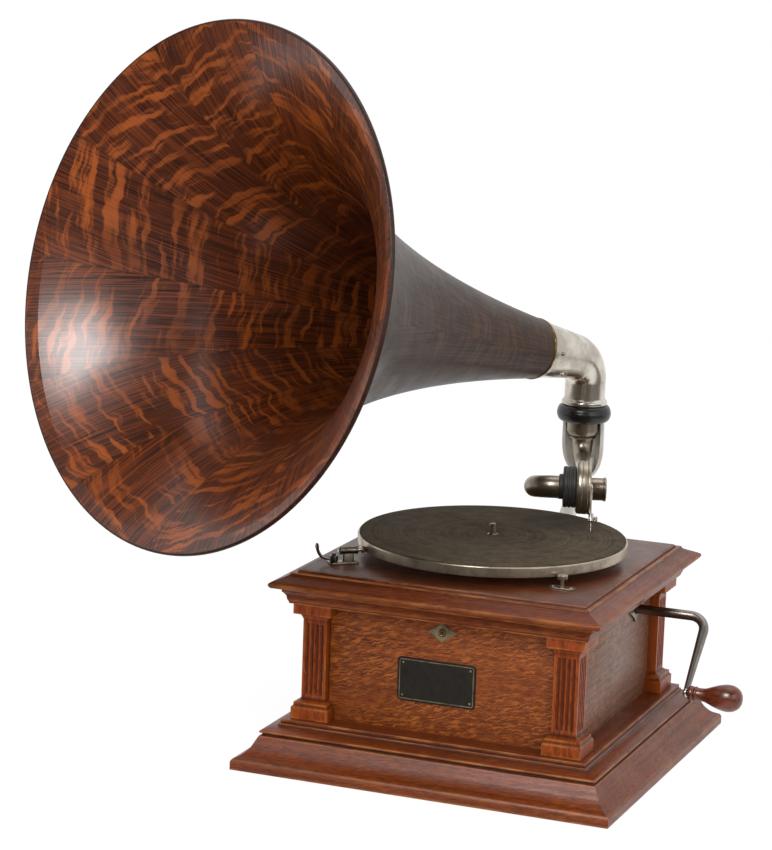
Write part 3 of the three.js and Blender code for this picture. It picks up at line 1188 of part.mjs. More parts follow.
// Sound box: rubber flange, case, front ring, diaphragm, stylus bar, needle and thumbscrew.
function buildSoundbox(parent, boxZ, rise) {
  const tubeClear = GOOSENECK_SPIGOT_RADIUS + SEAT_GAP;
  add(parent, 'rubber_flange', alongX(turned([
    [tubeClear, RUBBER_COLLAR_BACK + SEAT_GAP], [RUBBER_COLLAR_RADIUS, RUBBER_COLLAR_BACK + SEAT_GAP],
    [RUBBER_COLLAR_RADIUS, RUBBER_BACK], [RUBBER_RADIUS - BOX_WALL / 2, RUBBER_BACK],
    [RUBBER_RADIUS, RUBBER_BACK + BOX_WALL], [RUBBER_RADIUS, BOX_BACK - SEAT_GAP],
    [tubeClear, BOX_BACK - SEAT_GAP], [tubeClear, RUBBER_COLLAR_BACK + SEAT_GAP],
  ], 28)), RUBBER);
  const seat = BOX_FRONT - BOX_RING_DEPTH - SEAT_GAP;
  const inner = BOX_RADIUS - BOX_WALL;
  const gasket = inner - BOX_WALL;
  const pocket = seat - DIAPHRAGM_THICKNESS - SEAT_GAP;
  add(parent, 'soundbox_case', alongX(turned([
    [BOX_PORT_RADIUS, BOX_BACK], [RUBBER_RADIUS + BOX_WALL, BOX_BACK],
    [BOX_RADIUS - BOX_WALL / 2, BOX_BACK + BOX_WALL],
    [BOX_RADIUS, BOX_BACK + 2 * BOX_WALL], [BOX_RADIUS, seat], [inner, seat], [inner, pocket],
    [gasket, pocket], [gasket, BOX_BACK + 2 * BOX_WALL], [BOX_PORT_RADIUS, BOX_BACK + 2 * BOX_WALL],
    [BOX_PORT_RADIUS, BOX_BACK],
  ], 30)), NICKEL);
  add(parent, 'soundbox_ring', alongX(turned([
    [BOX_RING_OPENING_RADIUS, seat + SEAT_GAP], [BOX_RADIUS, seat + SEAT_GAP],
    [BOX_RADIUS, BOX_FRONT - BOX_RING_DEPTH / 3], [BOX_RADIUS - BOX_RING_DEPTH / 3, BOX_FRONT],
    [BOX_RING_OPENING_RADIUS + BOX_RING_DEPTH / 3, BOX_FRONT],
    [BOX_RING_OPENING_RADIUS, BOX_FRONT - BOX_RING_DEPTH / 2], [BOX_RING_OPENING_RADIUS, seat + SEAT_GAP],
  ], 30)), NICKEL);
  const diaphragmRadius = inner - SEAT_GAP;
  const diaphragmBack = seat - DIAPHRAGM_THICKNESS;
  add(parent, 'diaphragm', alongX(rod(diaphragmRadius, diaphragmBack, seat, 24)), MICA);

  const tilt = Math.atan2(NEEDLE_REACH - SOUNDBOX_REACH, boxZ - FELT_TOP - NEEDLE_GAP);
  const length = Math.hypot(NEEDLE_REACH - SOUNDBOX_REACH, boxZ - FELT_TOP - NEEDLE_GAP);
  const stylus = new THREE.Group();
  stylus.rotation.x = rise - tilt;
  parent.add(stylus);
  const barBack = BOX_FRONT + SEAT_GAP;
  const barTop = STYLUS_WIDTH;
  const socketTop = -BOX_RADIUS - SEAT_GAP;
  const socketLow = socketTop - NEEDLE_SOCKET_LENGTH;
  const bar = boxBetween(
    [barBack, -STYLUS_WIDTH / 2, socketTop - NEEDLE_SOCKET_RADIUS],
    [barBack + STYLUS_THICKNESS, STYLUS_WIDTH / 2, barTop],
  );
  const toe = boxBetween(
    [seat + 2 * SEAT_GAP, -STYLUS_WIDTH / 4, 0],
    [barBack + STYLUS_THICKNESS / 2, STYLUS_WIDTH / 4, STYLUS_WIDTH / 2],
  );
  const centreX = NEEDLE_PLANE_X - NEEDLE_SOCKET_RADIUS / 2;
  const needleEnd = socketLow + NEEDLE_SOCKET_LENGTH / 2;
  const screwHeight = socketLow + NEEDLE_SOCKET_LENGTH / 4;
  const socket = rod(NEEDLE_SOCKET_RADIUS, socketLow, socketTop, 14).translate(centreX, 0, 0);
  const needleWay = rod(NEEDLE_RADIUS + SEAT_GAP, socketLow - CUT_OVERRUN, needleEnd, 10)
    .translate(centreX, 0, 0);
  const screwHole = rod(THUMBSCREW_SHANK_RADIUS + SEAT_GAP, centreX, centreX + 2 * NEEDLE_SOCKET_RADIUS, 10);
  const screwWay = alongX(screwHole).translate(0, 0, screwHeight);
  add(stylus, 'stylus_bar', shaped([bar, toe, socket], [needleWay, screwWay]), NICKEL);
  add(stylus, 'needle', turned([
    [0, -length], [NEEDLE_TIP_RADIUS, -length], [NEEDLE_RADIUS, NEEDLE_POINT_LENGTH - length],
    [NEEDLE_RADIUS, needleEnd - SEAT_GAP], [0, needleEnd - SEAT_GAP],
  ], 10).translate(centreX, 0, 0), DARK_STEEL);
  const headBack = NEEDLE_SOCKET_RADIUS + SEAT_GAP;
  add(stylus, 'needle_screw', alongX(turned([
    [0, NEEDLE_RADIUS + SEAT_GAP], [THUMBSCREW_SHANK_RADIUS, NEEDLE_RADIUS + SEAT_GAP],
    [THUMBSCREW_SHANK_RADIUS, headBack], [THUMBSCREW_RADIUS, headBack],
    [THUMBSCREW_RADIUS, headBack + THUMBSCREW_RADIUS], [0, headBack + THUMBSCREW_RADIUS],
  ], 12)).translate(centreX, 0, screwHeight), NICKEL);
}

// Ledge in the knuckle that carries the arm's flange.
function ledgeHeight() {
  return KNUCKLE_HEIGHT - KNUCKLE_DEPTH / 4;
}

// Ledge in the knuckle that carries the elbow.
function elbowSeat() {
  return KNUCKLE_HEIGHT;
}

// Black knuckle ring and the plated bracket that carries it behind the case.
function buildBracket() {
  const group = new THREE.Group();
  group.position.set(0, PIVOT_Y, 0);
  part.add(group);
  const low = KNUCKLE_HEIGHT - KNUCKLE_DEPTH / 2;
  const high = KNUCKLE_HEIGHT + KNUCKLE_DEPTH / 2;
  const armBore = ARM_CUP_RADIUS + RUNNING_GAP;
  const flangeBore = ARM_FLANGE_RADIUS + RUNNING_GAP;
  const neckBore = ELBOW_NECK_RADIUS + RUNNING_GAP;
  const bulge = [];
  const steps = 6;
  const outFlat = KNUCKLE_RADIUS - KNUCKLE_DEPTH / 3;
  for (let i = 0; i <= steps; i += 1) {
    const angle = -RIGHT_ANGLE + (Math.PI * i) / steps;
    bulge.push([
      outFlat + (KNUCKLE_DEPTH / 3) * Math.cos(angle),
      KNUCKLE_HEIGHT + (KNUCKLE_DEPTH / 2) * Math.sin(angle),
    ]);
  }
  add(group, 'knuckle_ring', turned([
    [armBore, low], ...bulge, [neckBore, high], [neckBore, elbowSeat()], [flangeBore, elbowSeat()],
    [flangeBore, ledgeHeight()], [armBore, ledgeHeight()], [armBore, low],
  ], 28), BLACK_ENAMEL);

  const shellTop = low - SEAT_GAP;
  const shares = [
    [0, 1, 0], [0.35, 1.01, 0], [0.6, 0.97, 0.06], [0.8, 0.82, 0.2], [0.93, 0.6, 0.36], [1, 0.44, 0.5],
  ];
  const rings = shares.map(([fall, width, back]) => crescent(
    shellTop + (BRACKET_SHELL_BOTTOM - shellTop) * fall, BRACKET_RADIUS * width, BRACKET_RADIUS * back,
  ));
  const shell = loft(rings);
  const wall = CASE_HALF + SEAT_GAP + BRACKET_FLANGE_THICKNESS;
  const stemShares = [
    [0.98, 0.05], [0.93, -0.1], [0.82, -0.2], [0.64, -0.36], [0.42, -0.6], [0.2, -0.86], [-0.005, -1],
  ];
  const stemTop = BRACKET_SHELL_BOTTOM + BRACKET_STEM_DEPTH;
  const stemDrop = stemTop - BRACKET_FLANGE_HEIGHT;
  const back = PIVOT_Y + BRACKET_RADIUS * BRACKET_STEM_BACK_SHARE;
  const path = stemShares.map(([out, fall]) => new THREE.Vector3(
    0, wall + (back - wall) * out - PIVOT_Y, stemTop + stemDrop * fall,
  ));
  const widths = path.map(() => BRACKET_STEM_WIDTH / 2);
  const stem = flatBar(path, widths, BRACKET_STEM_DEPTH / 2);
  const flangeWide = BRACKET_FLANGE_WIDTH / 2;
  const flangeTall = BRACKET_FLANGE_DROP / 2;
  const flange = boxBetween(
    [-flangeWide, CASE_HALF + SEAT_GAP - PIVOT_Y, BRACKET_FLANGE_HEIGHT - flangeTall],
    [flangeWide, wall - PIVOT_Y, BRACKET_FLANGE_HEIGHT + flangeTall],
  );
  add(group, 'back_bracket', shaped([shell, stem, flange]), NICKEL);
}

// Crescent-shaped section of the bracket's shell, open to the front.
function crescent(height, radius, back) {
  const points = [];
  const steps = 8;
  for (let i = 0; i <= steps; i += 1) {
    const angle = (Math.PI * i) / steps;
    points.push(new THREE.Vector3(radius * Math.cos(angle), back + radius * Math.sin(angle), height));
  }
  const inside = radius - BRACKET_WALL;
  for (let i = steps; i >= 0; i -= 1) {
    const angle = (Math.PI * i) / steps;
    points.push(new THREE.Vector3(inside * Math.cos(angle), back + inside * Math.sin(angle), height));
  }
  return points;
}

// Oval bar along a path in the YZ plane.
function flatBar(path, widths, halfDepth) {
  const side = new THREE.Vector3(1, 0, 0);
  const sides = 14;
  const rings = path.map((point, i) => {
    const before = path[Math.max(i - 1, 0)];
    const after = path[Math.min(i + 1, path.length - 1)];
    const up = after.clone().sub(before).normalize().cross(side);
    const points = [];
    for (let j = 0; j < sides; j += 1) {
      const angle = (FULL_TURN * j) / sides;
      points.push(point.clone()
        .addScaledVector(side, widths[i] * Math.cos(angle))
        .addScaledVector(up, halfDepth * Math.sin(angle)));
    }
    return points;
  });
  return loft(rings);
}

// Plated elbow that turns in the knuckle and takes the horn's ferrule.
function buildElbow() {
  const group = new THREE.Group();
  group.position.set(0, PIVOT_Y, 0);
  group.rotation.z = HORN_AZIMUTH;
  part.add(group);
  const up = new THREE.Vector3(0, 0, 1);
  const out = new THREE.Vector3(Math.cos(HORN_ELEVATION), 0, Math.sin(HORN_ELEVATION));
  const corner = new THREE.Vector3(0, 0, HORN_AXIS_HEIGHT);
  const arc = bend(corner, up, out, ELBOW_BEND_RADIUS, 6);
  const end = corner.clone().addScaledVector(out, HORN_START - FERRULE_BEAD_DEPTH - SEAT_GAP);
  const start = new THREE.Vector3(0, 0, elbowSeat() + SEAT_GAP);
  const path = [start, ...arc, end];
  const side = new THREE.Vector3(0, 1, 0);
  const growth = (i, from, to) => {
    if (i === 0) {
      return from;
    }
    if (i === path.length - 1) {
      return to;
    }
    return from + ((to - from) * ELBOW_BEND_SHARE * (i - 1)) / (path.length - 3);
  };
  const radii = path.map((point, i) => growth(i, ELBOW_NECK_RADIUS, ELBOW_MOUTH_RADIUS));
  const outer = taperedBar(path, radii, side, 20);
  const footLow = KNUCKLE_HEIGHT + KNUCKLE_DEPTH / 2 + SEAT_GAP;
  const foot = turned([
    [0, footLow], [ELBOW_FOOT_RADIUS - ELBOW_WALL / 2, footLow],
    [ELBOW_FOOT_RADIUS, footLow + ELBOW_WALL / 2],
    [ELBOW_FOOT_RADIUS, footLow + ELBOW_FOOT_DEPTH - ELBOW_WALL],
    [ELBOW_NECK_RADIUS, footLow + ELBOW_FOOT_DEPTH], [0, footLow + ELBOW_FOOT_DEPTH],
  ], 20);
  const borePath = [start.clone().addScaledVector(up, -CUT_OVERRUN), ...path.slice(1, -1),
    end.clone().addScaledVector(out, CUT_OVERRUN)];
  const mouthBore = ELBOW_MOUTH_RADIUS - ELBOW_WALL;
  const boreRadii = borePath.map((point, i) => growth(i, ELBOW_NECK_RADIUS - ELBOW_WALL, mouthBore));
  const bore = taperedBar(borePath, boreRadii, side, 16);
  const socket = alongX(rod(FERRULE_RADIUS + RUNNING_GAP, -FERRULE_SLIP - SEAT_GAP, CUT_OVERRUN, 20))
    .rotateY(-HORN_ELEVATION).translate(end.x, 0, end.z);
  add(group, 'horn_elbow', shaped([outer, foot], [bore, socket]), NICKEL);
}

// Radius of the horn's outside at a share of its length.
function hornRadius(share) {
  const growth = HORN_STRAIGHT_SHARE * share + (1 - HORN_STRAIGHT_SHARE) * share ** HORN_FLARE_POWER;
  return HORN_NECK_RADIUS * Math.exp(Math.log(HORN_MOUTH_RADIUS / HORN_NECK_RADIUS) * growth);
}

// Oak horn with its rim and the ferrule that slips into the elbow.
function buildHorn() {
  const group = new THREE.Group();
  group.position.set(0, PIVOT_Y, HORN_AXIS_HEIGHT);
  group.rotation.set(0, -HORN_ELEVATION, HORN_AZIMUTH, 'ZYX');
  part.add(group);
  const bellLength = HORN_LENGTH - RIM_DEPTH / 2;
  const outer = [];
  for (let i = 0; i <= HORN_STATIONS; i += 1) {
    const linear = i / HORN_STATIONS;
    const share = (Math.sin(linear * RIGHT_ANGLE) * bellLength) / HORN_LENGTH;
    outer.push([hornRadius(share), HORN_START + share * HORN_LENGTH]);
  }
  const inner = outer.map(([radius, place]) => [radius - HORN_WALL, place]).reverse();
  const last = outer.length - 1;
  const lead = HORN_WALL;
  inner[0] = [outer[last][0] - 2 * HORN_WALL, outer[last][1]];
  inner[1] = [inner[1][0] - lead / 4, inner[1][1]];
  add(group, 'horn_bell', alongX(turned([...outer, ...inner, outer[0]], HORN_SEGMENTS)), HORN_OAK);

  const rimBack = HORN_START + bellLength + SEAT_GAP;
  const rimOuter = HORN_MOUTH_RADIUS;
  const rimInner = rimOuter - 2 * RIM_WIDTH;
  add(group, 'horn_rim', alongX(turned([
    [rimInner, rimBack], [rimOuter - RIM_WIDTH / 4, rimBack], [rimOuter, rimBack + RIM_DEPTH / 4],
    [rimOuter, rimBack + RIM_DEPTH / 2], [rimOuter - RIM_WIDTH / 4, rimBack + (RIM_DEPTH * 3) / 4],
    [rimInner + RIM_WIDTH / 2, rimBack + RIM_DEPTH / 2], [rimInner, rimBack + RIM_DEPTH / 8],
    [rimInner, rimBack],
  ], HORN_SEGMENTS)), RIM_OAK);

  const wallInner = HORN_NECK_RADIUS - HORN_WALL;
  const tubeOuter = Math.min(FERRULE_RADIUS, wallInner - SEAT_GAP);
  const tubeInner = tubeOuter - FERRULE_WALL;
  const tubeEnd = HORN_START - FERRULE_BEAD_DEPTH - FERRULE_SLIP;
  add(group, 'horn_ferrule', alongX(turned([
    [tubeInner, tubeEnd], [tubeOuter, tubeEnd], [tubeOuter, HORN_START - FERRULE_BEAD_DEPTH],
    [FERRULE_BEAD - FERRULE_BEAD_DEPTH / 3, HORN_START - FERRULE_BEAD_DEPTH],
    [FERRULE_BEAD, HORN_START - FERRULE_BEAD_DEPTH / 2], [FERRULE_BEAD, HORN_START - SEAT_GAP],
    [tubeOuter, HORN_START - SEAT_GAP], [tubeOuter, HORN_START + FERRULE_INSERT / 3],
    [tubeInner, HORN_START + FERRULE_INSERT / 3], [tubeInner, tubeEnd],
  ], 24)), BRASS);
}

// Place of the speed screw on the deck.
function speedPlace() {
  return [SPEED_REACH * Math.cos(SPEED_ANGLE), TABLE_Y + SPEED_REACH * Math.sin(SPEED_ANGLE)];
}

// Speed plate, screw, the lever below it and the lever's bracket.
function buildSpeedControl(plan) {
  const [x, y] = speedPlace();
  const plateLow = DECK_TOP + SEAT_GAP;
  const end = SPEED_PLATE_WIDTH / 2;
  const half = SPEED_PLATE_LENGTH / 2;
  const shape = new THREE.Shape();
  shape.moveTo(-half + end, -end);
  shape.lineTo(half - end, -end);
  shape.absarc(half - end, 0, end, -RIGHT_ANGLE, RIGHT_ANGLE, false);
  shape.lineTo(-half + end, end);
  shape.absarc(-half + end, 0, end, RIGHT_ANGLE, Math.PI + RIGHT_ANGLE, false);
  shape.holes.push(roundHole(SPEED_SCREW_RADIUS + RUNNING_GAP));
  const plate = plateOf(shape, TRIM_THICKNESS, 6);
  add(part, 'speed_plate', plate.translate(x, y, plateLow), NICKEL);

  const leverRadius = SPEED_ROCKER_RADIUS;
  const leverZ = BED_BOTTOM - SEAT_GAP - 2 * leverRadius;
  const armTop = leverZ + leverRadius;
  const screwLow = armTop + SEAT_GAP;
  const knobLow = SPEED_KNOB_TOP - SPEED_KNOB_DEPTH;
  const screw = turned([
    [0, screwLow], [SPEED_SCREW_RADIUS, screwLow], [SPEED_SCREW_RADIUS, knobLow],
    [SPEED_KNOB_RADIUS, knobLow], [SPEED_KNOB_RADIUS, SPEED_KNOB_TOP - SPEED_KNOB_DEPTH / 5],
    [SPEED_KNOB_RADIUS * SPEED_KNOB_CROWN_SHARE, SPEED_KNOB_TOP], [0, SPEED_KNOB_TOP],
  ], 20);
  add(part, 'speed_screw', screw.translate(x, y, 0), BRASS);

  const padThickness = GEAR_WIDTH / 3;
  const discFace = governorDiscFace();
  const padFace = discFace + SPEED_PAD_GAP;
  const rockerX = padFace + padThickness + leverRadius;
  const nearY = plan.governorY + leverRadius;
  const farY = y - SPEED_PLATE_WIDTH / 2;
  const rocker = rod(leverRadius, farY, nearY, 12).rotateX(-RIGHT_ANGLE).translate(rockerX, 0, leverZ);
  const finger = boxBetween(
    [rockerX, y - leverRadius, leverZ - leverRadius / 2],
    [x + leverRadius, y + leverRadius, armTop],
  );
  const blade = boxBetween(
    [rockerX - leverRadius / 2, nearY - 2 * leverRadius, WORM_HEIGHT + SPEED_BLADE_RISE],
    [rockerX + leverRadius / 2, nearY, leverZ],
  );
  const padZ = WORM_HEIGHT + SPEED_PAD_RISE;
  const pad = alongX(rod(leverRadius, padFace, rockerX, 12)).translate(0, nearY - leverRadius, padZ);
  add(part, 'speed_lever', shaped([rocker, finger, blade, pad]), DARK_STEEL);

  const ear = 2 * leverRadius;
  const bedFront = BED_FRONT - SEAT_GAP;
  const bracketTop = LID_REBATE_HEIGHT;
  const web = boxBetween(
    [rockerX - ear, y + ear, bracketTop - leverRadius],
    [rockerX + ear, bedFront, bracketTop],
  );
  const earAt = (start) => boxBetween(
    [rockerX - ear, start, leverZ - ear],
    [rockerX + ear, start + leverRadius, bracketTop],
  );
  const earHole = rod(leverRadius + RUNNING_GAP, farY, nearY, 12).rotateX(-RIGHT_ANGLE)
    .translate(rockerX, 0, leverZ);
  const bracket = shaped([web, earAt(y + ear), earAt(bedFront - leverRadius)], [earHole]);
  add(part, 'lever_bracket', bracket, CAST_IRON);
}

// Brake: plate with its tube, plunger with a leather pad, and the finger lever.
function buildBrake() {
  const group = new THREE.Group();
  group.position.set(0, TABLE_Y, 0);
  group.rotation.z = BRAKE_ANGLE;
  part.add(group);
  const low = DECK_TOP + SEAT_GAP;
  const high = low + BRAKE_PLATE_THICKNESS;
  const tubeIn = TABLE_RADIUS + BRAKE_TUBE_INNER_GAP;
  const padIn = TABLE_RADIUS + SEAT_GAP;
  const half = BRAKE_PLATE_WIDTH / 2;
  const plate = boxBetween([tubeIn, -half, low], [BRAKE_PLATE_OUTER_END, half, high]);
  const tubeOut = BRAKE_TUBE_OUTER_END;
  const tube = alongX(rod(BRAKE_TUBE_RADIUS, tubeIn, tubeOut, 20)).translate(0, 0, BRAKE_HEIGHT);
  const rib = boxBetween(
    [tubeIn + BRAKE_TUBE_RADIUS, -BRAKE_TUBE_RADIUS / 2, low],
    [tubeOut - BRAKE_TUBE_RADIUS, BRAKE_TUBE_RADIUS / 2, BRAKE_HEIGHT],
  );
  const post = rod(BRAKE_PIVOT_RADIUS, low, BRAKE_HEIGHT - BRAKE_TUBE_RADIUS / 2, 12)
    .translate(BRAKE_PIVOT_REACH, 0, 0);
  const rodWay = rod(BRAKE_ROD_RADIUS + RUNNING_GAP, tubeIn - CUT_OVERRUN, tubeOut + CUT_OVERRUN, 14);
  const cut = alongX(rodWay).translate(0, 0, BRAKE_HEIGHT);
  add(group, 'brake_base', shaped([plate, rib, tube, post], [cut]), NICKEL);

  const padOut = padIn + BRAKE_PAD_THICKNESS;
  const headOut = tubeIn - BRAKE_TRAVEL - SEAT_GAP;
  const rodOut = BRAKE_PIVOT_REACH - BRAKE_PIVOT_RADIUS * 2;
  add(group, 'brake_plunger', alongX(turned([
    [0, padOut + SEAT_GAP], [BRAKE_PAD_RADIUS, padOut + SEAT_GAP], [BRAKE_PAD_RADIUS, headOut],
    [BRAKE_ROD_RADIUS, headOut], [BRAKE_ROD_RADIUS, rodOut], [0, rodOut],
  ], 14)).translate(0, 0, BRAKE_HEIGHT), NICKEL);
  const pad = alongX(rod(BRAKE_PAD_RADIUS, padIn, padOut, 14)).translate(0, 0, BRAKE_HEIGHT);
  add(group, 'brake_pad', pad, LEATHER);

  const bore = BRAKE_PIVOT_RADIUS + RUNNING_GAP;
  const hubLow = high + SEAT_GAP;
  const hubHigh = BRAKE_HEIGHT - BRAKE_TUBE_RADIUS - SEAT_GAP;
  const hub = rod(2 * BRAKE_PIVOT_RADIUS, hubLow, hubHigh, 14).translate(BRAKE_PIVOT_REACH, 0, 0);
  const hole = rod(bore, hubLow - CUT_OVERRUN, hubHigh + CUT_OVERRUN, 12)
    .translate(BRAKE_PIVOT_REACH, 0, 0);
  const middle = (hubLow + hubHigh) / 2;
  const reach = BRAKE_TAB_REACH - BRAKE_PIVOT_REACH;
  const rise = BRAKE_TAB_HEIGHT - middle;
  const shares = [[0.06, 0], [0.4, 0.02], [0.68, 0.14], [0.86, 0.42], [0.96, 0.72], [1, 1]];
  const path = shares.map(([out, up]) => new THREE.Vector3(
    BRAKE_PIVOT_REACH + reach * out, 0, middle + rise * up,
  ));
  const finger = taperedBar(path, path.map(() => BRAKE_LEVER_RADIUS), new THREE.Vector3(0, 1, 0), 10);
  const tab = new THREE.SphereGeometry(BRAKE_TAB_RADIUS, 10, 6).scale(1 / 2, 1, BRAKE_TAB_TALL_SHARE)
    .translate(BRAKE_TAB_REACH, 0, BRAKE_TAB_HEIGHT);
  add(group, 'brake_lever', shaped([hub, finger, tab], [hole]), DARK_STEEL);
}

const plan = motorPlan();
buildCase();
buildPosts();
buildTrim();
buildTurntable(plan);
buildBarrel(plan);
buildLayshaft(plan);
buildGovernor(plan);
buildFrame(plan);
buildCrank(plan);
buildToneArm();
buildBracket();
buildElbow();
buildHorn();
buildSpeedControl(plan);
buildBrake();

export default part;
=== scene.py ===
"""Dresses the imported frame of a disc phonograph: oak case, turntable, sound train and oak horn.

Sizes are in millimetres, as in the solids, and each mesh is scaled to metres when it is made.
"""
import logging
import math
from collections.abc import Callable
from dataclasses import dataclass
from enum import Enum

import bmesh
import bpy
from mathutils import Matrix, Vector


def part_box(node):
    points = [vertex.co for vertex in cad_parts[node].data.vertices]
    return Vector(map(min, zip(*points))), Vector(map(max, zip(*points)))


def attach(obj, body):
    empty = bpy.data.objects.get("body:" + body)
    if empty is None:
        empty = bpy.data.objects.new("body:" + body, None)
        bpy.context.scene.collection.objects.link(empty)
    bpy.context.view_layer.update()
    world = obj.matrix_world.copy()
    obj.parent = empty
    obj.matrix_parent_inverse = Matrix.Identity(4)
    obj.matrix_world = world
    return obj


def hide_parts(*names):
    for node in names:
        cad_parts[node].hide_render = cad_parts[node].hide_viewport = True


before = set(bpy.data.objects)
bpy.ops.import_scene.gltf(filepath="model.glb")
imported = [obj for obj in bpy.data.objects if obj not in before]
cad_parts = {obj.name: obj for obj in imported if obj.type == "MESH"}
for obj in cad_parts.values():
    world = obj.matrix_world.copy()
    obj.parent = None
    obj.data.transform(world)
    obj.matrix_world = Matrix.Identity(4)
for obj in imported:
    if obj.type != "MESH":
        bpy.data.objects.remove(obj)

log = logging.getLogger("phonograph")

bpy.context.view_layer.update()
MM = 0.001
TURN = 2 * math.pi
QUARTER = math.pi / 2
X, Y, Z = (Vector(way) for way in ((1, 0, 0), (0, 1, 0), (0, 0, 1)))
SEAT_GAP = 0.3
# Distance from an edge over which the marks on it fade out: rubbing with a painted highlight, and painted
# shade.
FADE = 1.8

# Places that several sub-assemblies share.
CASE_HALF = 125.0
CASE_WALL = CASE_HALF + SEAT_GAP
DECK_TOP = 185.9
SPINDLE_Y = 0.5
FELT_TOP = 207.1
CRANK_HOLE = (59.4, 137.7)
PIVOT_Y = 263.0
HORN_HEIGHT = 336.7
HORN_AZIMUTH = math.radians(-114)
HORN_ELEVATION = math.radians(12.36)

Pair = tuple[float, float]
Socket = bpy.types.NodeSocket
Value = Socket | float | tuple


class Layer(Enum):
    """Coordinates that the meshes carry at each face corner."""

    GRAIN = "grain"
    # MARKS carries rubbing with a painted highlight on convex edges, and painted shade in corners, flutes,
    # joints and the horn's throat.
    MARKS = "marks"
    LEAF = "leaf"


def paint(code: str) -> tuple[float, float, float, float]:
    """Turns a screen colour into the linear colour that a shader takes.

    Args:
        code: The colour as six hexadecimal digits.

    Returns:
        Red, green, blue and alpha, from 0 to 1.
    """
    parts = [int(code[i:i + 2], 16) / 255 for i in (0, 2, 4)]
    linear = [p / 12.92 if p <= 0.04045 else ((p + 0.055) / 1.055) ** 2.4 for p in parts]
    return (linear[0], linear[1], linear[2], 1.0)


def moved(x: float = 0, y: float = 0, z: float = 0) -> Matrix:
    """Returns the shift by these millimetres."""
    return Matrix.Translation((x, y, z))


def turned_about(axis: str, angle: float) -> Matrix:
    """Returns the turn about an axis by an angle in radians."""
    return Matrix.Rotation(angle, 4, axis)


# A lathe's axis is Z; this lays it along X.
ALONG_X = turned_about("Y", QUARTER)
# This lays a plate drawn in X and Y on the front panel, facing -Y.
ON_FRONT = turned_about("X", QUARTER)


def rounded(points: list[Pair], radius: float, steps: int = 4) -> list[Pair]:
    """Rounds the inner corners of an open run of points.

    Args:
        points: The run, as pairs.
        radius: How far from each corner the rounding starts, at most.
        steps: Number of spans in each rounding.

    Returns:
        The run with its corners rounded.
    """
    run = [Vector(p) for p in points]
    out = [run[0]]
    for before, corner, after in zip(run, run[1:], run[2:]):
        back, on = before - corner, after - corner
        reach = min(radius, back.length * 0.45, on.length * 0.45)
        start = corner + back.normalized() * reach
        end = corner + on.normalized() * reach
        for i in range(steps + 1):
            t = i / steps
            out.append(start * (1 - t) ** 2 + corner * 2 * t * (1 - t) + end * t ** 2)
    out.append(run[-1])
    return [(p.x, p.y) for p in out]


def guarded(points: list[tuple], reach: float) -> list[tuple]:
    """Adds points near the ends of long spans, so that edge marks fade close to the edges.

    Args:
        points: The run, as tuples of equal length.
        reach: Distance from each end at which a point is added.

    Returns:
        The run with the added points.
    """
    out = [points[0]]
    for a, b in zip(points, points[1:]):
        span = math.dist(a, b)
        if span > 2.5 * reach:
            for t in (reach / span, 1 - reach / span):
                out.append(tuple(p + (q - p) * t for p, q in zip(a, b)))
        out.append(b)
    return out


def smoothed(points: list[tuple], steps: int) -> list[Vector]:
    """Runs a smooth curve through points.

    Args:
        points: Two or more points of two or three numbers.
        steps: Number of spans between two points.

    Returns:
        The points of the curve, its ends included.
    """
    run = [Vector(p) for p in points]
    run = [run[0] * 2 - run[1], *run, run[-1] * 2 - run[-2]]
    out = []
    for a, b, c, d in zip(run, run[1:], run[2:], run[3:]):
        for i in range(steps):
            t = i / steps
            out.append(0.5 * ((b * 2) + (c - a) * t + (a * 2 - b * 5 + c * 4 - d) * t ** 2
                              + (b * 3 - a - c * 3 + d) * t ** 3))
    return [*out, run[-2]]


def smoothed_flat(points: list[Pair], steps: int) -> list[Pair]:
    """Runs a smooth curve through points of a flat outline and gives its points as pairs."""
    return [(p.x, p.y) for p in smoothed(points, steps)]


def between(start: Pair, end: Pair, shares: tuple[Pair, ...]) -> list[Pair]:
    """Places points of a profile, given as shares of the way from one corner to another."""
    return [(start[0] + (end[0] - start[0]) * a, start[1] + (end[1] - start[1]) * b) for a, b in shares]


def pearl(radius: float, half: float, steps: int) -> list[Pair]:
    """Gives the profile of a flattened ball by its radius, its half height and its number of spans."""
    angles = [math.pi * i / steps for i in range(steps + 1)]
    return [(radius * math.sin(a), -half * math.cos(a)) for a in angles]


def bend(corner: Vector, first: Vector, then: Vector, radius: float, steps: int) -> list[Vector]:
    """Gives the points of a round bend that turns from one direction to another.

    Args:
        corner: Where the two straight runs would meet.
        first: Direction before the bend.
        then: Direction after it.
        radius: Radius of the bend.
        steps: Number of spans.

    Returns:
        The points, from the first run to the second.
    """
    angle = first.angle(then)
    start = corner - first * (radius * math.tan(angle / 2))
    inward = (then - first * first.dot(then)).normalized()
    centre = start + inward * radius
    spans = [angle * i / steps for i in range(steps + 1)]
    return [centre - inward * (radius * math.cos(a)) + first * (radius * math.sin(a)) for a in spans]


def edge_marks(profile: list[Pair], reach: float = 1.4) -> list[Pair]:
    """Finds how far each point of a profile is a rubbed edge with a painted highlight, or a corner with
    painted shade.

    Args:
        profile: The profile, run so that the outside is on its right.
        reach: Distance over which the turn is measured.

    Returns:
        Wear with its painted highlight, and painted shade, of each point, from 0 to 1.
    """
    run = [Vector(p) for p in profile]

    def direction(index: int, step: int) -> Vector:
        """Gives the way that the profile runs over the reach before or after a point."""
        far = index
        while 0 <= far + step < len(run) and (run[far] - run[index]).length < reach:
            far += step
        return (run[far] - run[index]) * step

    marks = []
    for i in range(len(run)):
        before, after = direction(i, -1), direction(i, 1)
        if before.length < 1e-6 or after.length < 1e-6:
            marks.append((0.0, 0.0))
            continue
        angle = before.normalized().angle_signed(after.normalized())
        marks.append((min(max(-angle, 0.0), 1.0), min(max(angle, 0.0), 1.0)))
    return marks


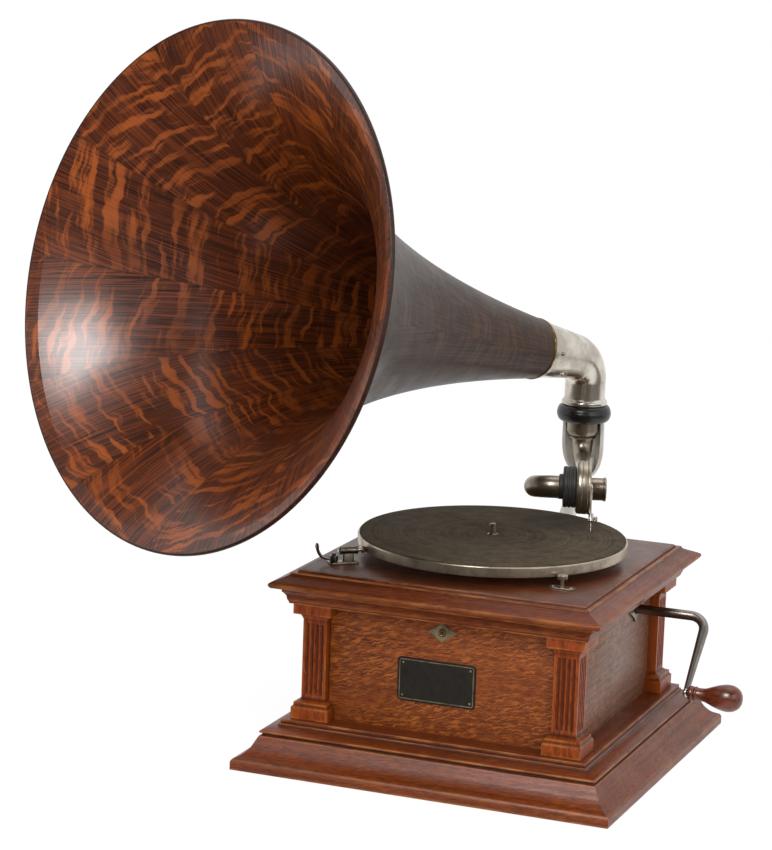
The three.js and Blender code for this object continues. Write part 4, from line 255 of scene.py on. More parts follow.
class Skin:
    """Points, faces and corner coordinates of one mesh, in millimetres."""

    def __init__(self) -> None:
        """Starts an empty mesh."""
        self.points: list[Vector] = []
        self.faces: list[list[int]] = []
        self.finish: list[int] = []
        self.corners: dict[Layer, list[Pair]] = {layer: [] for layer in Layer}

    def grid(self, rows: list[list[Vector]], layers: dict[Layer, list[list[Pair]]] | None = None,
             closed: bool = False, finish: int = 0) -> "Skin":
        """Adds a sheet of faces between rows of points.

        Args:
            rows: Rows of equal length.
            layers: Coordinates for each row and column, with one more column where the rows close.
            closed: True if the last column joins the first.
            finish: Number of the finish on these faces.

        Returns:
            The skin itself.
        """
        start = len(self.points)
        width = len(rows[0])
        for row in rows:
            self.points.extend(row)
        given = layers or {}
        spans = width if closed else width - 1
        for i in range(len(rows) - 1):
            for j in range(spans):
                ends = ((i, j), (i, j + 1), (i + 1, j + 1), (i + 1, j))
                self.faces.append([start + a * width + b % width for a, b in ends])
                self.finish.append(finish)
                for layer in Layer:
                    table = given.get(layer)
                    self.corners[layer].extend(table[a][b] if table else (0.0, 0.0) for a, b in ends)
        return self

    def cap(self, ring: list[Vector], grain: list[Pair] | None = None, finish: int = 0) -> "Skin":
        """Adds one flat face over a ring of points and returns the skin."""
        start = len(self.points)
        self.points.extend(ring)
        self.faces.append(list(range(start, start + len(ring))))
        self.finish.append(finish)
        for layer in Layer:
            flat = grain if layer is Layer.GRAIN and grain else [(0.0, 0.0)] * len(ring)
            self.corners[layer].extend(flat)
        return self

    def lathe(self, profile: list[Pair], segments: int, place: Matrix, finish: int = 0,
              ripple: Callable[[float], float] | None = None) -> "Skin":
        """Adds a turned surface.

        Args:
            profile: Radius and height of each ring, about the local Z axis.
            segments: Number of faces around.
            place: Where the axis lies.
            finish: Number of the finish.
            ripple: Share of the radius at each angle, for knurls and grooves along the axis.

        Returns:
            The skin itself.
        """
        angles = [TURN * j / segments for j in range(segments)]
        share = ripple or (lambda angle: 1.0)
        rows = [[place @ Vector((r * share(a) * math.cos(a), r * share(a) * math.sin(a), h)) for a in angles]
                for r, h in profile]
        return self.grid(rows, closed=True, finish=finish)

    def sweep(self, path: list[Vector], radii: list[Pair], side: Vector, sides: int, place: Matrix,
              closed: bool = True) -> "Skin":
        """Adds a bar or a tube along a path.

        Args:
            path: Centre points.
            radii: Half width towards the side, and half depth across it, at each point.
            side: A direction that stays square to the path.
            sides: Number of faces around.
            place: Where the path lies.
            closed: True if its ends are closed.

        Returns:
            The skin itself.
        """
        rows = []
        for i, point in enumerate(path):
            tangent = (path[min(i + 1, len(path) - 1)] - path[max(i - 1, 0)]).normalized()
            up = tangent.cross(side)
            wide, deep = radii[i]
            rows.append([place @ (point + side * (wide * math.cos(a)) + up * (deep * math.sin(a)))
                         for a in (TURN * j / sides for j in range(sides))])
        self.grid(rows, closed=True)
        return self.cap(rows[0]).cap(rows[-1]) if closed else self

    def moulding(self, profile: list[Pair], offset: float = 0.0, columns: int = 12) -> "Skin":
        """Adds a square frame of four mitred mouldings.

        Args:
            profile: Half width and height of each line of the moulding, from below upwards.
            offset: Shift of the grain, so that no two mouldings are cut from the same place.
            columns: Number of faces along each side.

        Returns:
            The skin itself.
        """
        profile = guarded(profile, FADE)
        across = [0.0]
        for a, b in zip(profile, profile[1:]):
            across.append(across[-1] + math.dist(a, b))
        marks = edge_marks(profile)
        for side in range(4):
            spin = turned_about("Z", side * QUARTER)
            shares = [2 * j / columns - 1 for j in range(columns + 1)]
            rows = [[spin @ Vector((half * s, -half, z)) for s in shares] for half, z in profile]
            start = offset + side * 731.0
            grain = [[(half * s + start, v + start) for s in shares] for (half, z), v in zip(profile, across)]
            # Rubbing with a painted highlight on convex edges, and painted shade in concave corners.
            wear_and_painted_light = [[mark] * len(shares) for mark in marks]
            self.grid(rows, {Layer.GRAIN: grain, Layer.MARKS: wear_and_painted_light})
        return self

    def board(self, low: Vector, high: Vector, edge: float, along: Vector, across: Vector,
              offset: float = 0.0) -> "Skin":
        """Adds a board with eased edges, its broad faces towards the axis that is left over.

        Args:
            low: Lowest corner.
            high: Highest corner.
            edge: How far the edges are eased.
            along: Direction of the grain.
            across: Direction across the grain, on the broad face.
            offset: Shift of the grain.

        Returns:
            The skin itself.
        """
        middle, half = (low + high) / 2, (high - low) / 2
        out = along.cross(across)
        reach = [abs(half.dot(along)), abs(half.dot(across)), abs(half.dot(out))]
        round_off = [(0.0, 1.0), (0.3, 0.3), (1.0, 0.0)]
        levels = [(-1, (1.0, 0.0))] + [(-1, p) for p in reversed(round_off)] + [(1, p) for p in round_off]
        rows, grain, marks = [], [], []
        for face, (inset, fall) in levels:
            a, b = reach[0] - edge * inset, reach[1] - edge * inset
            height = face * (reach[2] - edge * fall)
            ring = [(-a, -b), (0.0, -b), (a, -b), (a, 0.0), (a, b), (0.0, b), (-a, b), (-a, 0.0)]
            rows.append([middle + along * x + across * y + out * height for x, y in ring])
            closed = [*ring, ring[0]]
            grain.append([(x + offset, y + height * 0.5 + offset) for x, y in closed])
            # Eased edges get rubbing with a painted highlight.
            marks.append([(0.5 if 0 < inset < 1 else 0.0, 0.0)] * len(closed))
        self.grid(rows, {Layer.GRAIN: grain, Layer.MARKS: marks}, closed=True)
        self.cap(rows[0], grain[0][:-1])
        return self.cap(rows[-1], grain[-1][:-1])

    def plate(self, shape: list[Pair], thickness: float, edge: float, place: Matrix, hole: float = 0.0,
              finish: int = 0) -> "Skin":
        """Adds a flat plate with an eased edge and a round hole in its middle.

        Args:
            shape: Outline about the origin.
            thickness: Thickness of the plate.
            edge: How far its upper edge is eased.
            place: Where the plate's back lies.
            hole: Radius of the hole, or 0.
            finish: Number of the finish.

        Returns:
            The skin itself.
        """
        rows = [[place @ Vector((x, y, 0)) for x, y in shape]]
        eased = ((0.0, thickness - edge), (edge * 0.3, thickness - edge * 0.3), (edge, thickness))
        for inset, height in eased:
            rows.append([place @ Vector((x, y, height)) for x, y in drawn_in(shape, inset)])
        bore = [(hole * math.cos(a), hole * math.sin(a)) for a in (math.atan2(y, x) for x, y in shape)]
        rows.append([place @ Vector((x, y, thickness)) for x, y in bore])
        rows.append([place @ Vector((x, y, 0)) for x, y in bore])
        return self.grid(rows, closed=True, finish=finish)

    def screw(self, radius: float, height: float, slot: float, place: Matrix, finish: int = 0) -> "Skin":
        """Adds a round screw head with a slot across it.

        Args:
            radius: Radius of the head.
            height: Height of its crown.
            slot: Half width of the slot.
            place: Where the head's foot lies.
            finish: Number of the finish.

        Returns:
            The skin itself.
        """
        cuts = [(-1, 0), (-0.86, 0), (-0.6, 0), (-slot / radius, 0), (-slot / radius, 1)]
        lines = cuts + [(-x, deep) for x, deep in reversed(cuts)]
        spread = [math.sin(QUARTER * (j / 6 - 1)) for j in range(13)]
        floor = 0.25 * height
        rows = []
        for x, deep in lines:
            chord = math.sqrt(max(1 - x * x, 0.0))
            row = []
            for s in spread:
                y = chord * s
                crown = math.sqrt(max(1 - x * x - y * y, 0.0)) * height
                row.append(place @ Vector((x * radius, y * radius, min(crown, floor) if deep else crown)))
            rows.append(row)
        return self.grid(rows, finish=finish)

    def make(self, name: str, crease: float) -> bpy.types.Object:
        """Turns the skin into a Blender object in metres.

        Args:
            name: Name of the piece.
            crease: Angle in degrees above which an edge stays sharp.

        Returns:
            The new object.
        """
        mesh = bpy.data.meshes.new(name)
        mesh.from_pydata([p * MM for p in self.points], [], self.faces)
        for layer, corners in self.corners.items():
            scale = MM if layer is Layer.GRAIN else 1.0
            values = [c * scale for pair in corners for c in pair]
            mesh.uv_layers.new(name=layer.value).data.foreach_set("uv", values)
        mesh.polygons.foreach_set("material_index", self.finish)
        work = bmesh.new()
        work.from_mesh(mesh)
        bmesh.ops.remove_doubles(work, verts=work.verts, dist=2e-6)
        bmesh.ops.recalc_face_normals(work, faces=work.faces)
        work.to_mesh(mesh)
        work.free()
        mesh.shade_smooth()
        mesh.set_sharp_from_angle(angle=math.radians(crease))
        piece = bpy.data.objects.new(name, mesh)
        bpy.context.scene.collection.objects.link(piece)
        return piece


def drawn_in(shape: list[Pair], inset: float) -> list[Pair]:
    """Moves a closed outline inwards.

    Args:
        shape: The outline, run counter-clockwise.
        inset: How far it moves.

    Returns:
        The smaller outline, with as many points.
    """
    out = []
    count = len(shape)
    for i, (x, y) in enumerate(shape):
        (ax, ay), (bx, by) = shape[i - 1], shape[(i + 1) % count]
        way = Vector((bx - ax, by - ay)).normalized()
        out.append((x - way.y * inset, y + way.x * inset))
    return out


def diamond(width: float, drop: float, hollow: float, steps: int = 12) -> list[Pair]:
    """Draws a diamond whose four sides curve in a little.

    Args:
        width: Full width.
        drop: Full height.
        hollow: How far each side curves in, as a share of its length.
        steps: Number of points on each side.

    Returns:
        The outline, counter-clockwise.
    """
    tips = [Vector((width / 2, 0)), Vector((0, drop / 2)), Vector((-width / 2, 0)), Vector((0, -drop / 2))]
    out = []
    for i, tip in enumerate(tips):
        side = tips[(i + 1) % 4] - tip
        inward = Vector((-side.y, side.x))
        for j in range(steps):
            t = j / steps
            out.append(tip + side * t + inward * (hollow * 4 * t * (1 - t)))
    return [(p.x, p.y) for p in out]


def rounded_box(width: float, drop: float, corner: float, steps: int = 6) -> list[Pair]:
    """Draws a rectangle with round corners, counter-clockwise, about the origin.

    Args:
        width: Full width.
        drop: Full height.
        corner: Radius of the corners.
        steps: Number of spans in each corner.

    Returns:
        The outline.
    """
    out = []
    for i, (sx, sy) in enumerate(((1, -1), (1, 1), (-1, 1), (-1, -1))):
        centre = (sx * (width / 2 - corner), sy * (drop / 2 - corner))
        for j in range(steps + 1):
            a = (i - 1) * QUARTER + QUARTER * j / steps
            out.append((centre[0] + corner * math.cos(a), centre[1] + corner * math.sin(a)))
    return out


class Nodes:
    """Node tree, with short calls for the nodes that the finishes and the studio need."""

    def __init__(self, tree: bpy.types.NodeTree) -> None:
        """Starts on a tree."""
        self.tree = tree

    def feed(self, socket: Socket, value: Value) -> None:
        """Links a socket to another one, or sets its value."""
        if isinstance(value, bpy.types.NodeSocket):
            self.tree.links.new(value, socket)
        else:
            socket.default_value = value

    def add(self, kind: str, inputs: dict[int | str, Value], **settings: str) -> bpy.types.Node:
        """Adds a node.

        Args:
            kind: Its type, without the prefix that all have.
            inputs: What feeds its sockets, by their numbers or names.
            **settings: Its own properties.

        Returns:
            The node.
        """
        node = self.tree.nodes.new(f"ShaderNode{kind}")
        for name, value in settings.items():
            setattr(node, name, value)
        for name, value in inputs.items():
            self.feed(node.inputs[name], value)
        return node

    def layer(self, layer: Layer) -> Socket:
        """Gives the coordinates of one of the mesh's layers."""
        return self.add("UVMap", {}, uv_map=layer.value).outputs[0]

    def place(self) -> Socket:
        """Gives the place in the piece's own metres."""
        return self.add("TexCoord", {}).outputs["Object"]

    def parts(self, vector: Socket) -> list[Socket]:
        """Splits a vector into its three numbers."""
        return list(self.add("SeparateXYZ", {0: vector}).outputs)

    def joined(self, x: Value, y: Value, z: Value) -> Socket:
        """Joins three numbers to a vector."""
        return self.add("CombineXYZ", {0: x, 1: y, 2: z}).outputs[0]

    def stretched(self, vector: Socket, scale: tuple, degrees: float = 0.0) -> Socket:
        """Turns a vector about Z by degrees, then scales it."""
        turned = self.add("VectorRotate", {"Vector": vector, "Angle": math.radians(degrees)},
                          rotation_type="Z_AXIS")
        return self.add("VectorMath", {0: turned.outputs[0], 1: scale}, operation="MULTIPLY").outputs[0]

    def length(self, vector: Socket) -> Socket:
        """Gives the length of a vector."""
        return self.add("VectorMath", {0: vector}, operation="LENGTH").outputs["Value"]

    def noise(self, vector: Socket, scale: float, detail: float = 2.0, rough: float = 0.5) -> Socket:
        """Gives a noise from 0 to 1, by its scale, its number of finer layers and how strong they are."""
        return self.add("TexNoise", {"Vector": vector, "Scale": scale, "Detail": detail,
                                     "Roughness": rough}).outputs[0]

    def calc(self, kind: str, a: Value, b: Value) -> Socket:
        """Gives the result of one step of arithmetic."""
        return self.add("Math", {0: a, 1: b}, operation=kind).outputs[0]

    def times(self, a: Value, b: Value) -> Socket:
        """Multiplies two numbers."""
        return self.calc("MULTIPLY", a, b)

    def window(self, value: Socket, low: float, high: float, least: float = 0.0,
               most: float = 1.0) -> Socket:
        """Maps a value smoothly from between low and high to between least and most."""
        return self.add("MapRange", {0: value, 1: low, 2: high, 3: least, 4: most},
                        interpolation_type="SMOOTHSTEP").outputs[0]

    def mix(self, share: Value, a: Value, b: Value) -> Socket:
        """Mixes two colours."""
        return self.add("Mix", {0: share, 6: a, 7: b}, data_type="RGBA").outputs[2]

    def bump(self, height: Socket, depth: float, strength: float) -> Socket:
        """Gives the normal of a height from 0 to 1, where 1 stands for a depth in millimetres."""
        return self.add("Bump", {"Height": height, "Distance": depth * MM, "Strength": strength}).outputs[0]

    def seen_directly(self) -> Socket:
        """Gives 1 on rays of the eye, of mirrors and of glass, and 0 on the light's other ways."""
        rays = self.add("LightPath", {}).outputs
        seen = self.calc("MAXIMUM", rays["Is Camera Ray"], rays["Is Glossy Ray"])
        return self.calc("MAXIMUM", seen, rays["Is Transmission Ray"])


class Recipe(Nodes):
    """Node tree of one finish."""

    def __init__(self, name: str) -> None:
        """Starts a material with its shader."""
        self.material = bpy.data.materials.new(name)
        self.material.use_nodes = True
        super().__init__(self.material.node_tree)
        self.shader = self.tree.nodes["Principled BSDF"]

    def set(self, **values: Value) -> None:
        """Feeds the shader's own sockets, named with underscores for spaces."""
        for name, value in values.items():
            self.feed(self.shader.inputs[name.replace("_", " ")], value)


@dataclass(frozen=True)
class OakFinish:
    """Stained and varnished quarter-sawn oak, drawn along the grain layer of the mesh."""

    dark: str = "602e12"
    light: str = "803f16"
    ray: str = "a85e24"
    pore: str = "2a0f04"
    # Colour of rubbed edges, which also paints their highlight.
    wear_and_painted_light: str = "a85c24"
    # Colour of the painted shade, and of the dark seams between gores.
    shade_and_seam: str = "1b0c04"
    ray_length: float = 13.0
    ray_width: float = 1.6
    ray_slant: float = -16.0
    ray_share: float = 0.68
    ray_level: float = 0.5
    ray_edge: float = 0.1
    wander: float = 3.0
    ray_cover: float = 0.25
    streak: float = 4.2
    cloud: float = 0.55
    pore_length: float = 9.0
    pore_width: float = 0.9
    pore_level: float = 0.5
    pore_share: float = 0.72
    ray_clear: float = 0.45
    roughness: float = 0.4
    shine: float = 0.22
    coat: float = 0.12
    seam: float = 0.0

    def build(self, name: str) -> bpy.types.Material:
        """Builds the material under a name and returns it."""
        r = Recipe(name)
        u, v, _ = r.parts(r.layer(Layer.GRAIN))
        leaf, across, _ = r.parts(r.layer(Layer.LEAF))
        place = r.joined(u, v, leaf)
        colour = self.ground(r, place)
        ray = self.rays(r, place)
        colour = r.mix(r.times(ray, self.ray_share), colour, paint(self.ray))
        size = (1000 / self.pore_length, 1000 / self.pore_width, 1.0)
        lines = r.noise(r.stretched(place, size), 1.0, 2.0, 0.6)
        lines = r.window(lines, self.pore_level, self.pore_level + 0.16)
        pores = r.times(lines, r.calc("SUBTRACT", 1.0, r.times(ray, self.ray_clear)))
        colour = r.mix(r.times(pores, self.pore_share), colour, paint(self.pore))
        wear_and_highlight, shade_and_seam, _ = r.parts(r.layer(Layer.MARKS))
        scuffs = r.noise(r.stretched(place, (30.0, 60.0, 1.0)), 1.0, 4.0, 0.6)
        # Rubbing on convex edges, broken up by scuffs, painted lighter as a highlight too.
        rubbed = r.times(wear_and_highlight, r.window(scuffs, 0.38, 0.62, 0.1, 0.8))
        colour = r.mix(rubbed, colour, paint(self.wear_and_painted_light))
        # Painted shade in concave corners, flutes, joints and the horn's throat.
        colour = r.mix(r.times(shade_and_seam, 0.85), colour, paint(self.shade_and_seam))
        # Dark joint lines along the gores' seams.
        if self.seam:
            line = r.window(across, 0.0, self.seam, 0.3, 0.0)
            colour = r.mix(line, colour, paint(self.shade_and_seam))
        dust = r.noise(place, 26.0, 4.0, 0.65)
        gloss = r.window(dust, 0.25, 0.75, self.roughness - 0.05, self.roughness + 0.08)
        height = r.calc("SUBTRACT", r.times(ray, 0.15), pores)
        r.set(Base_Color=colour, Roughness=gloss, Specular_IOR_Level=self.shine, Coat_Weight=self.coat,
              Coat_Roughness=0.2, Normal=r.bump(height, 0.05, 0.6))
        return r.material

    def ground(self, r: Recipe, place: Socket) -> Socket:
        """Gives the wood's colour between the rays: fine streaks with darker clouds.

        Args:
            r: The recipe.
            place: Grain coordinates.

        Returns:
            The colour.
        """
        streak = r.noise(r.stretched(place, (5.0, 1000 / self.streak, 1.0)), 1.0, 3.0, 0.6)
        broad = r.noise(r.stretched(place, (5.0, 14.0, 1.0)), 1.0, 2.0)
        colour = r.mix(r.window(streak, 0.32, 0.68), paint(self.dark), paint(self.light))
        return r.mix(r.window(broad, 0.35, 0.7, 0.0, self.cloud), colour, paint(self.dark))

    def rays(self, r: Recipe, place: Socket) -> Socket:
        """Gives the ray flecks, which wander as they run and come in patches.

        Args:
            r: The recipe.
            place: Grain coordinates.

        Returns:
            1 on a fleck and 0 beside it.
        """
        along, beside, leaf = r.parts(r.stretched(place, (1.0, 1.0, 1.0), self.ray_slant))
        swing_scale = 2600 / self.ray_length
        turned = r.joined(along, beside, leaf)
        swing = r.noise(r.stretched(turned, (swing_scale, swing_scale * 0.7, 1.0)), 1.0, 2.0)
        shift = r.times(r.calc("SUBTRACT", swing, 0.5), self.wander * MM * 2)
        wavy = r.joined(along, r.calc("ADD", beside, shift), leaf)
        size = (1000 / self.ray_length, 1000 / self.ray_width, 1.0)
        flecks = r.noise(r.stretched(wavy, size), 1.0, 2.4, 0.55)
        patches = r.noise(r.stretched(place, (12.0, 18.0, 1.0)), 1.0, 2.0)
        patches = r.window(patches, 0.32, 0.62, self.ray_cover, 1.0)
        return r.times(r.window(flecks, self.ray_level, self.ray_level + self.ray_edge), patches)


@dataclass(frozen=True)
class MetalFinish:
    """Metal or plating with a tarnish in patches and specks, and a fine unevenness."""

    bright: str
    tarnish: str
    share: float = 0.5
    patch: float = 90.0
    roughness: float = 0.22
    dull: float = 0.4
    metallic: float = 1.0
    bump: float = 0.02

    def build(self, name: str) -> bpy.types.Material:
        """Builds the material under a name and returns it."""
        r = Recipe(name)
        place = r.place()
        clouds = r.noise(place, self.patch, 5.0, 0.62)
        specks = r.noise(place, self.patch * 9, 3.0, 0.6)
        tarnish = r.times(r.window(clouds, 0.36, 0.66), self.share)
        spots = r.times(r.window(specks, 0.6, 0.72), self.share * 0.6)
        total = r.calc("MAXIMUM", tarnish, spots)
        colour = r.mix(total, paint(self.bright), paint(self.tarnish))
        gloss = r.window(total, 0.0, 1.0, self.roughness, self.dull)
        r.set(Base_Color=colour, Metallic=self.metallic, Roughness=gloss,
              Normal=r.bump(r.noise(place, self.patch * 3, 3.0), self.bump, 0.5))
        return r.material


@dataclass(frozen=True)
class FeltFinish:
    """Short brown-grey nap, a little lighter where records rubbed it."""

    deep: str = "2f261b"
    nap: str = "5b4f3e"
    label_radius: float = 0.05

    def build(self, name: str) -> bpy.types.Material:
        """Builds the material under a name and returns it."""
        r = Recipe(name)
        place = r.place()
        x, y, _ = r.parts(place)
        centred = r.joined(x, r.calc("SUBTRACT", y, SPINDLE_Y * MM), 0.0)
        radius = r.length(centred)
        fibres = r.noise(place, 900.0, 4.0, 0.75)
        blotches = r.noise(place, 70.0, 5.0, 0.7)
        rings = r.noise(r.joined(r.times(radius, 260.0), 0.0, 0.0), 1.0, 3.0)
        tone = r.calc("ADD", r.times(fibres, 0.42), r.times(blotches, 0.3))
        tone = r.calc("ADD", tone, r.times(rings, 0.28))
        label = r.window(radius, self.label_radius, self.label_radius + 0.004, 0.035, 0.0)
        tone = r.calc("SUBTRACT", tone, label)
        colour = r.mix(r.window(tone, 0.36, 0.62), paint(self.deep), paint(self.nap))
        r.set(Base_Color=colour, Roughness=0.95, Specular_IOR_Level=0.06, Sheen_Weight=0.03,
              Sheen_Roughness=0.5, Normal=r.bump(fibres, 0.25, 0.8))
        return r.material


@dataclass(frozen=True)
class PlainFinish:
    """Enamel, rubber, leather, mica or stained wood: one body colour, mottled, with its own gloss."""

    deep: str
    pale: str
    scale: float = 120.0
    roughness: float = 0.4
    coat: float = 0.0
    bump: float = 0.03
    see_through: float = 0.0
    stretch: tuple = (1.0, 1.0, 1.0)

    def build(self, name: str) -> bpy.types.Material:
        """Builds the material under a name and returns it."""
        r = Recipe(name)
        place = r.stretched(r.place(), self.stretch)
        cloud = r.noise(place, self.scale, 4.0, 0.6)
        fine = r.noise(place, self.scale * 8, 3.0, 0.6)
        tone = r.calc("ADD", r.times(cloud, 0.6), r.times(fine, 0.4))
        colour = r.mix(r.window(tone, 0.35, 0.65), paint(self.deep), paint(self.pale))
        gloss = r.window(fine, 0.3, 0.7, self.roughness - 0.06, self.roughness + 0.08)
        r.set(Base_Color=colour, Roughness=gloss, Coat_Weight=self.coat, Coat_Roughness=0.12,
              Transmission_Weight=self.see_through, Normal=r.bump(fine, self.bump, 0.5))
        return r.material


MOULDING_GRAIN = {"ray_length": 16.0, "ray_width": 1.8, "ray_slant": -8.0, "ray_share": 0.4}
HORN_GRAIN = {"ray_slant": 74.0, "wander": 10.0, "ray_cover": 0.4, "streak": 1.8, "pore_length": 50.0,
              "pore_width": 1.2, "pore_level": 0.46, "seam": 0.02}


class Finish(Enum):
    """Finishes of the phonograph: the record's material slot and the recipe."""

    PANEL = ("case_oak", OakFinish())
    # The right side's panel, paler and greyer: a painted sheen of light glancing off that side.
    FADED_PANEL = ("case_oak", OakFinish(dark="5c3f31", light="7b523c", ray="a06a4a", pore="2b1710"))
    DECK = ("case_oak", OakFinish(
        dark="461d0c", light="5f3016", ray="784320", ray_length=26.0, ray_width=2.6, ray_slant=-9.0,
        ray_share=0.6))
    MOULDING = ("moulding_oak", OakFinish(
        dark="552107", light="75340d", ray="8c4717", wear_and_painted_light="975a2a", **MOULDING_GRAIN))
    POST = ("moulding_oak", OakFinish(
        dark="6b2a06", light="913e0c", ray="a65418", wear_and_painted_light="aa6327", **MOULDING_GRAIN))
    HORN_INSIDE = ("horn_oak", OakFinish(
        dark="3f1906", light="72320c", ray="974a15", pore="190702", shade_and_seam="160803", ray_length=62.0,
        ray_width=8.0, ray_share=0.8, ray_level=0.475, ray_edge=0.15, cloud=0.4, pore_share=0.85,
        ray_clear=0.8, roughness=0.34, coat=0.5, **HORN_GRAIN))
    HORN_OUTSIDE = ("horn_oak", OakFinish(
        dark="2d1b10", light="422a1c", ray="543724", pore="150a05", ray_length=72.0, ray_width=9.0,
        ray_share=0.5, shine=0.14, **HORN_GRAIN))
    RIM = ("rim_oak", OakFinish(
        dark="1f0d06", light="33180a", ray="442513", ray_share=0.3, wear_and_painted_light="4a2912"))
    NICKEL = ("nickel", MetalFinish("d8d1c6", "7d6f5c", share=0.5, patch=34.0, roughness=0.22, dull=0.42))
    SATIN = ("nickel", MetalFinish("e4e0d9", "bdb7ac", share=0.4, patch=30.0, roughness=0.4, dull=0.52,
                                   metallic=0.3))
    WORN_NICKEL = ("nickel", MetalFinish("b3a999", "675b4b", share=0.5, patch=55.0, roughness=0.3,
                                         dull=0.46))
    AGED_NICKEL = ("nickel", MetalFinish("9c9181", "4a4033", share=0.55, patch=60.0, roughness=0.32,
                                         dull=0.5))
    RIM_NICKEL = ("nickel", MetalFinish("b9ad9b", "6a5d4c", share=0.6, patch=60.0, roughness=0.36,
                                        dull=0.5))
    STEEL = ("dark_steel", MetalFinish("77726c", "4a4540", share=0.4, patch=40.0, roughness=0.26,
                                       dull=0.4))
    CRANK_STEEL = ("dark_steel", MetalFinish("8f8984", "5a534d", share=0.5, patch=50.0, roughness=0.3,
                                             dull=0.44))
    FITTING = ("nickel", MetalFinish("7c7264", "3a3228", share=0.6, patch=70.0, roughness=0.3, dull=0.45))
    ESCUTCHEON = ("nickel", MetalFinish("8b7d62", "40362a", share=0.7, patch=90.0, roughness=0.36, dull=0.5,
                                        metallic=0.45))
    BRASS = ("brass", MetalFinish("c8a464", "7c5c2c", share=0.6, roughness=0.25))
    OLD_BRASS = ("brass", MetalFinish("8c7448", "33261a", share=0.8, roughness=0.3, dull=0.5))
    IRON = ("cast_iron", MetalFinish("55524d", "35312c", share=0.8, metallic=0.6, roughness=0.5,
                                     dull=0.7, bump=0.15))
    ENAMEL = ("black_enamel", PlainFinish("060605", "100e0c", roughness=0.3))
    RUBBER = ("rubber", PlainFinish("181613", "2c2722", roughness=0.55, bump=0.06))
    FELT = ("felt", FeltFinish())
    MICA = ("mica", PlainFinish("70654d", "a09579", scale=60.0, roughness=0.12, see_through=0.4))
    LEATHER = ("leather", PlainFinish("3b2515", "634227", roughness=0.7, bump=0.12))
    KNOB = ("knob_wood", PlainFinish(
        "401708", "682c11", scale=60.0, roughness=0.32, coat=0.2, stretch=(0.15, 1.0, 1.0)))
    PLATE = ("plate_black", PlainFinish("0f0c07", "1f1910", scale=160.0, roughness=0.5))

    @property
    def slot(self) -> str:
        """Name of the record's slot."""
        return self.value[0]

    def material(self) -> bpy.types.Material:
        """Returns the finish's material, built once."""
        name = f"look_{self.name.lower()}"
        return bpy.data.materials.get(name) or self.value[1].build(name)


def fit(skin: Skin, name: str, body: str, nodes: tuple[str, ...], *finishes: Finish,
        crease: float = 34.0) -> bpy.types.Object:
    """Makes a piece, dresses it and sets it on its body.

    Args:
        skin: The piece's mesh.
        name: Its name.
        body: The body that it rides on.
        nodes: The solids that it stands for.
        *finishes: Its finishes, in the order of their numbers.
        crease: Angle in degrees above which an edge stays sharp.

    Returns:
        The new object.
    """
    piece = skin.make(name, crease)
    for finish in finishes:
        piece.data.materials.append(finish.material())
    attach(piece, body)
    finishes[0].slot
    if nodes:
        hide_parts(*nodes)
    log.info("%s: %d faces, rides on %s", name, len(piece.data.polygons), body)
    return piece


def turn(profile: list[Pair], ease: float, segments: int, place: Matrix, name: str, body: str, node: str,
         finish: Finish, ripple: Callable[[float], float] | None = None) -> None:
    """Adds one turned piece.

    Args:
        profile: Radius and height of each ring, about the local Z axis.
        ease: How far from its corners they are rounded.
        segments: Number of faces around.
        place: Where the axis lies.
        name: Its name.
        body: The body that it rides on.
        node: The solid that it stands for.
        finish: Its finish.
        ripple: Share of the radius at each angle, for knurls.
    """
    fit(Skin().lathe(rounded(profile, ease), segments, place, ripple=ripple), name, body, (node,), finish)


def repaint(finish: Finish, *nodes: str) -> None:
    """Gives kept solids a finish."""
    for name in nodes:
        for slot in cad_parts[name].material_slots:
            slot.material = finish.material()
        log.info("%s: kept, in %s", name, finish.name.lower())


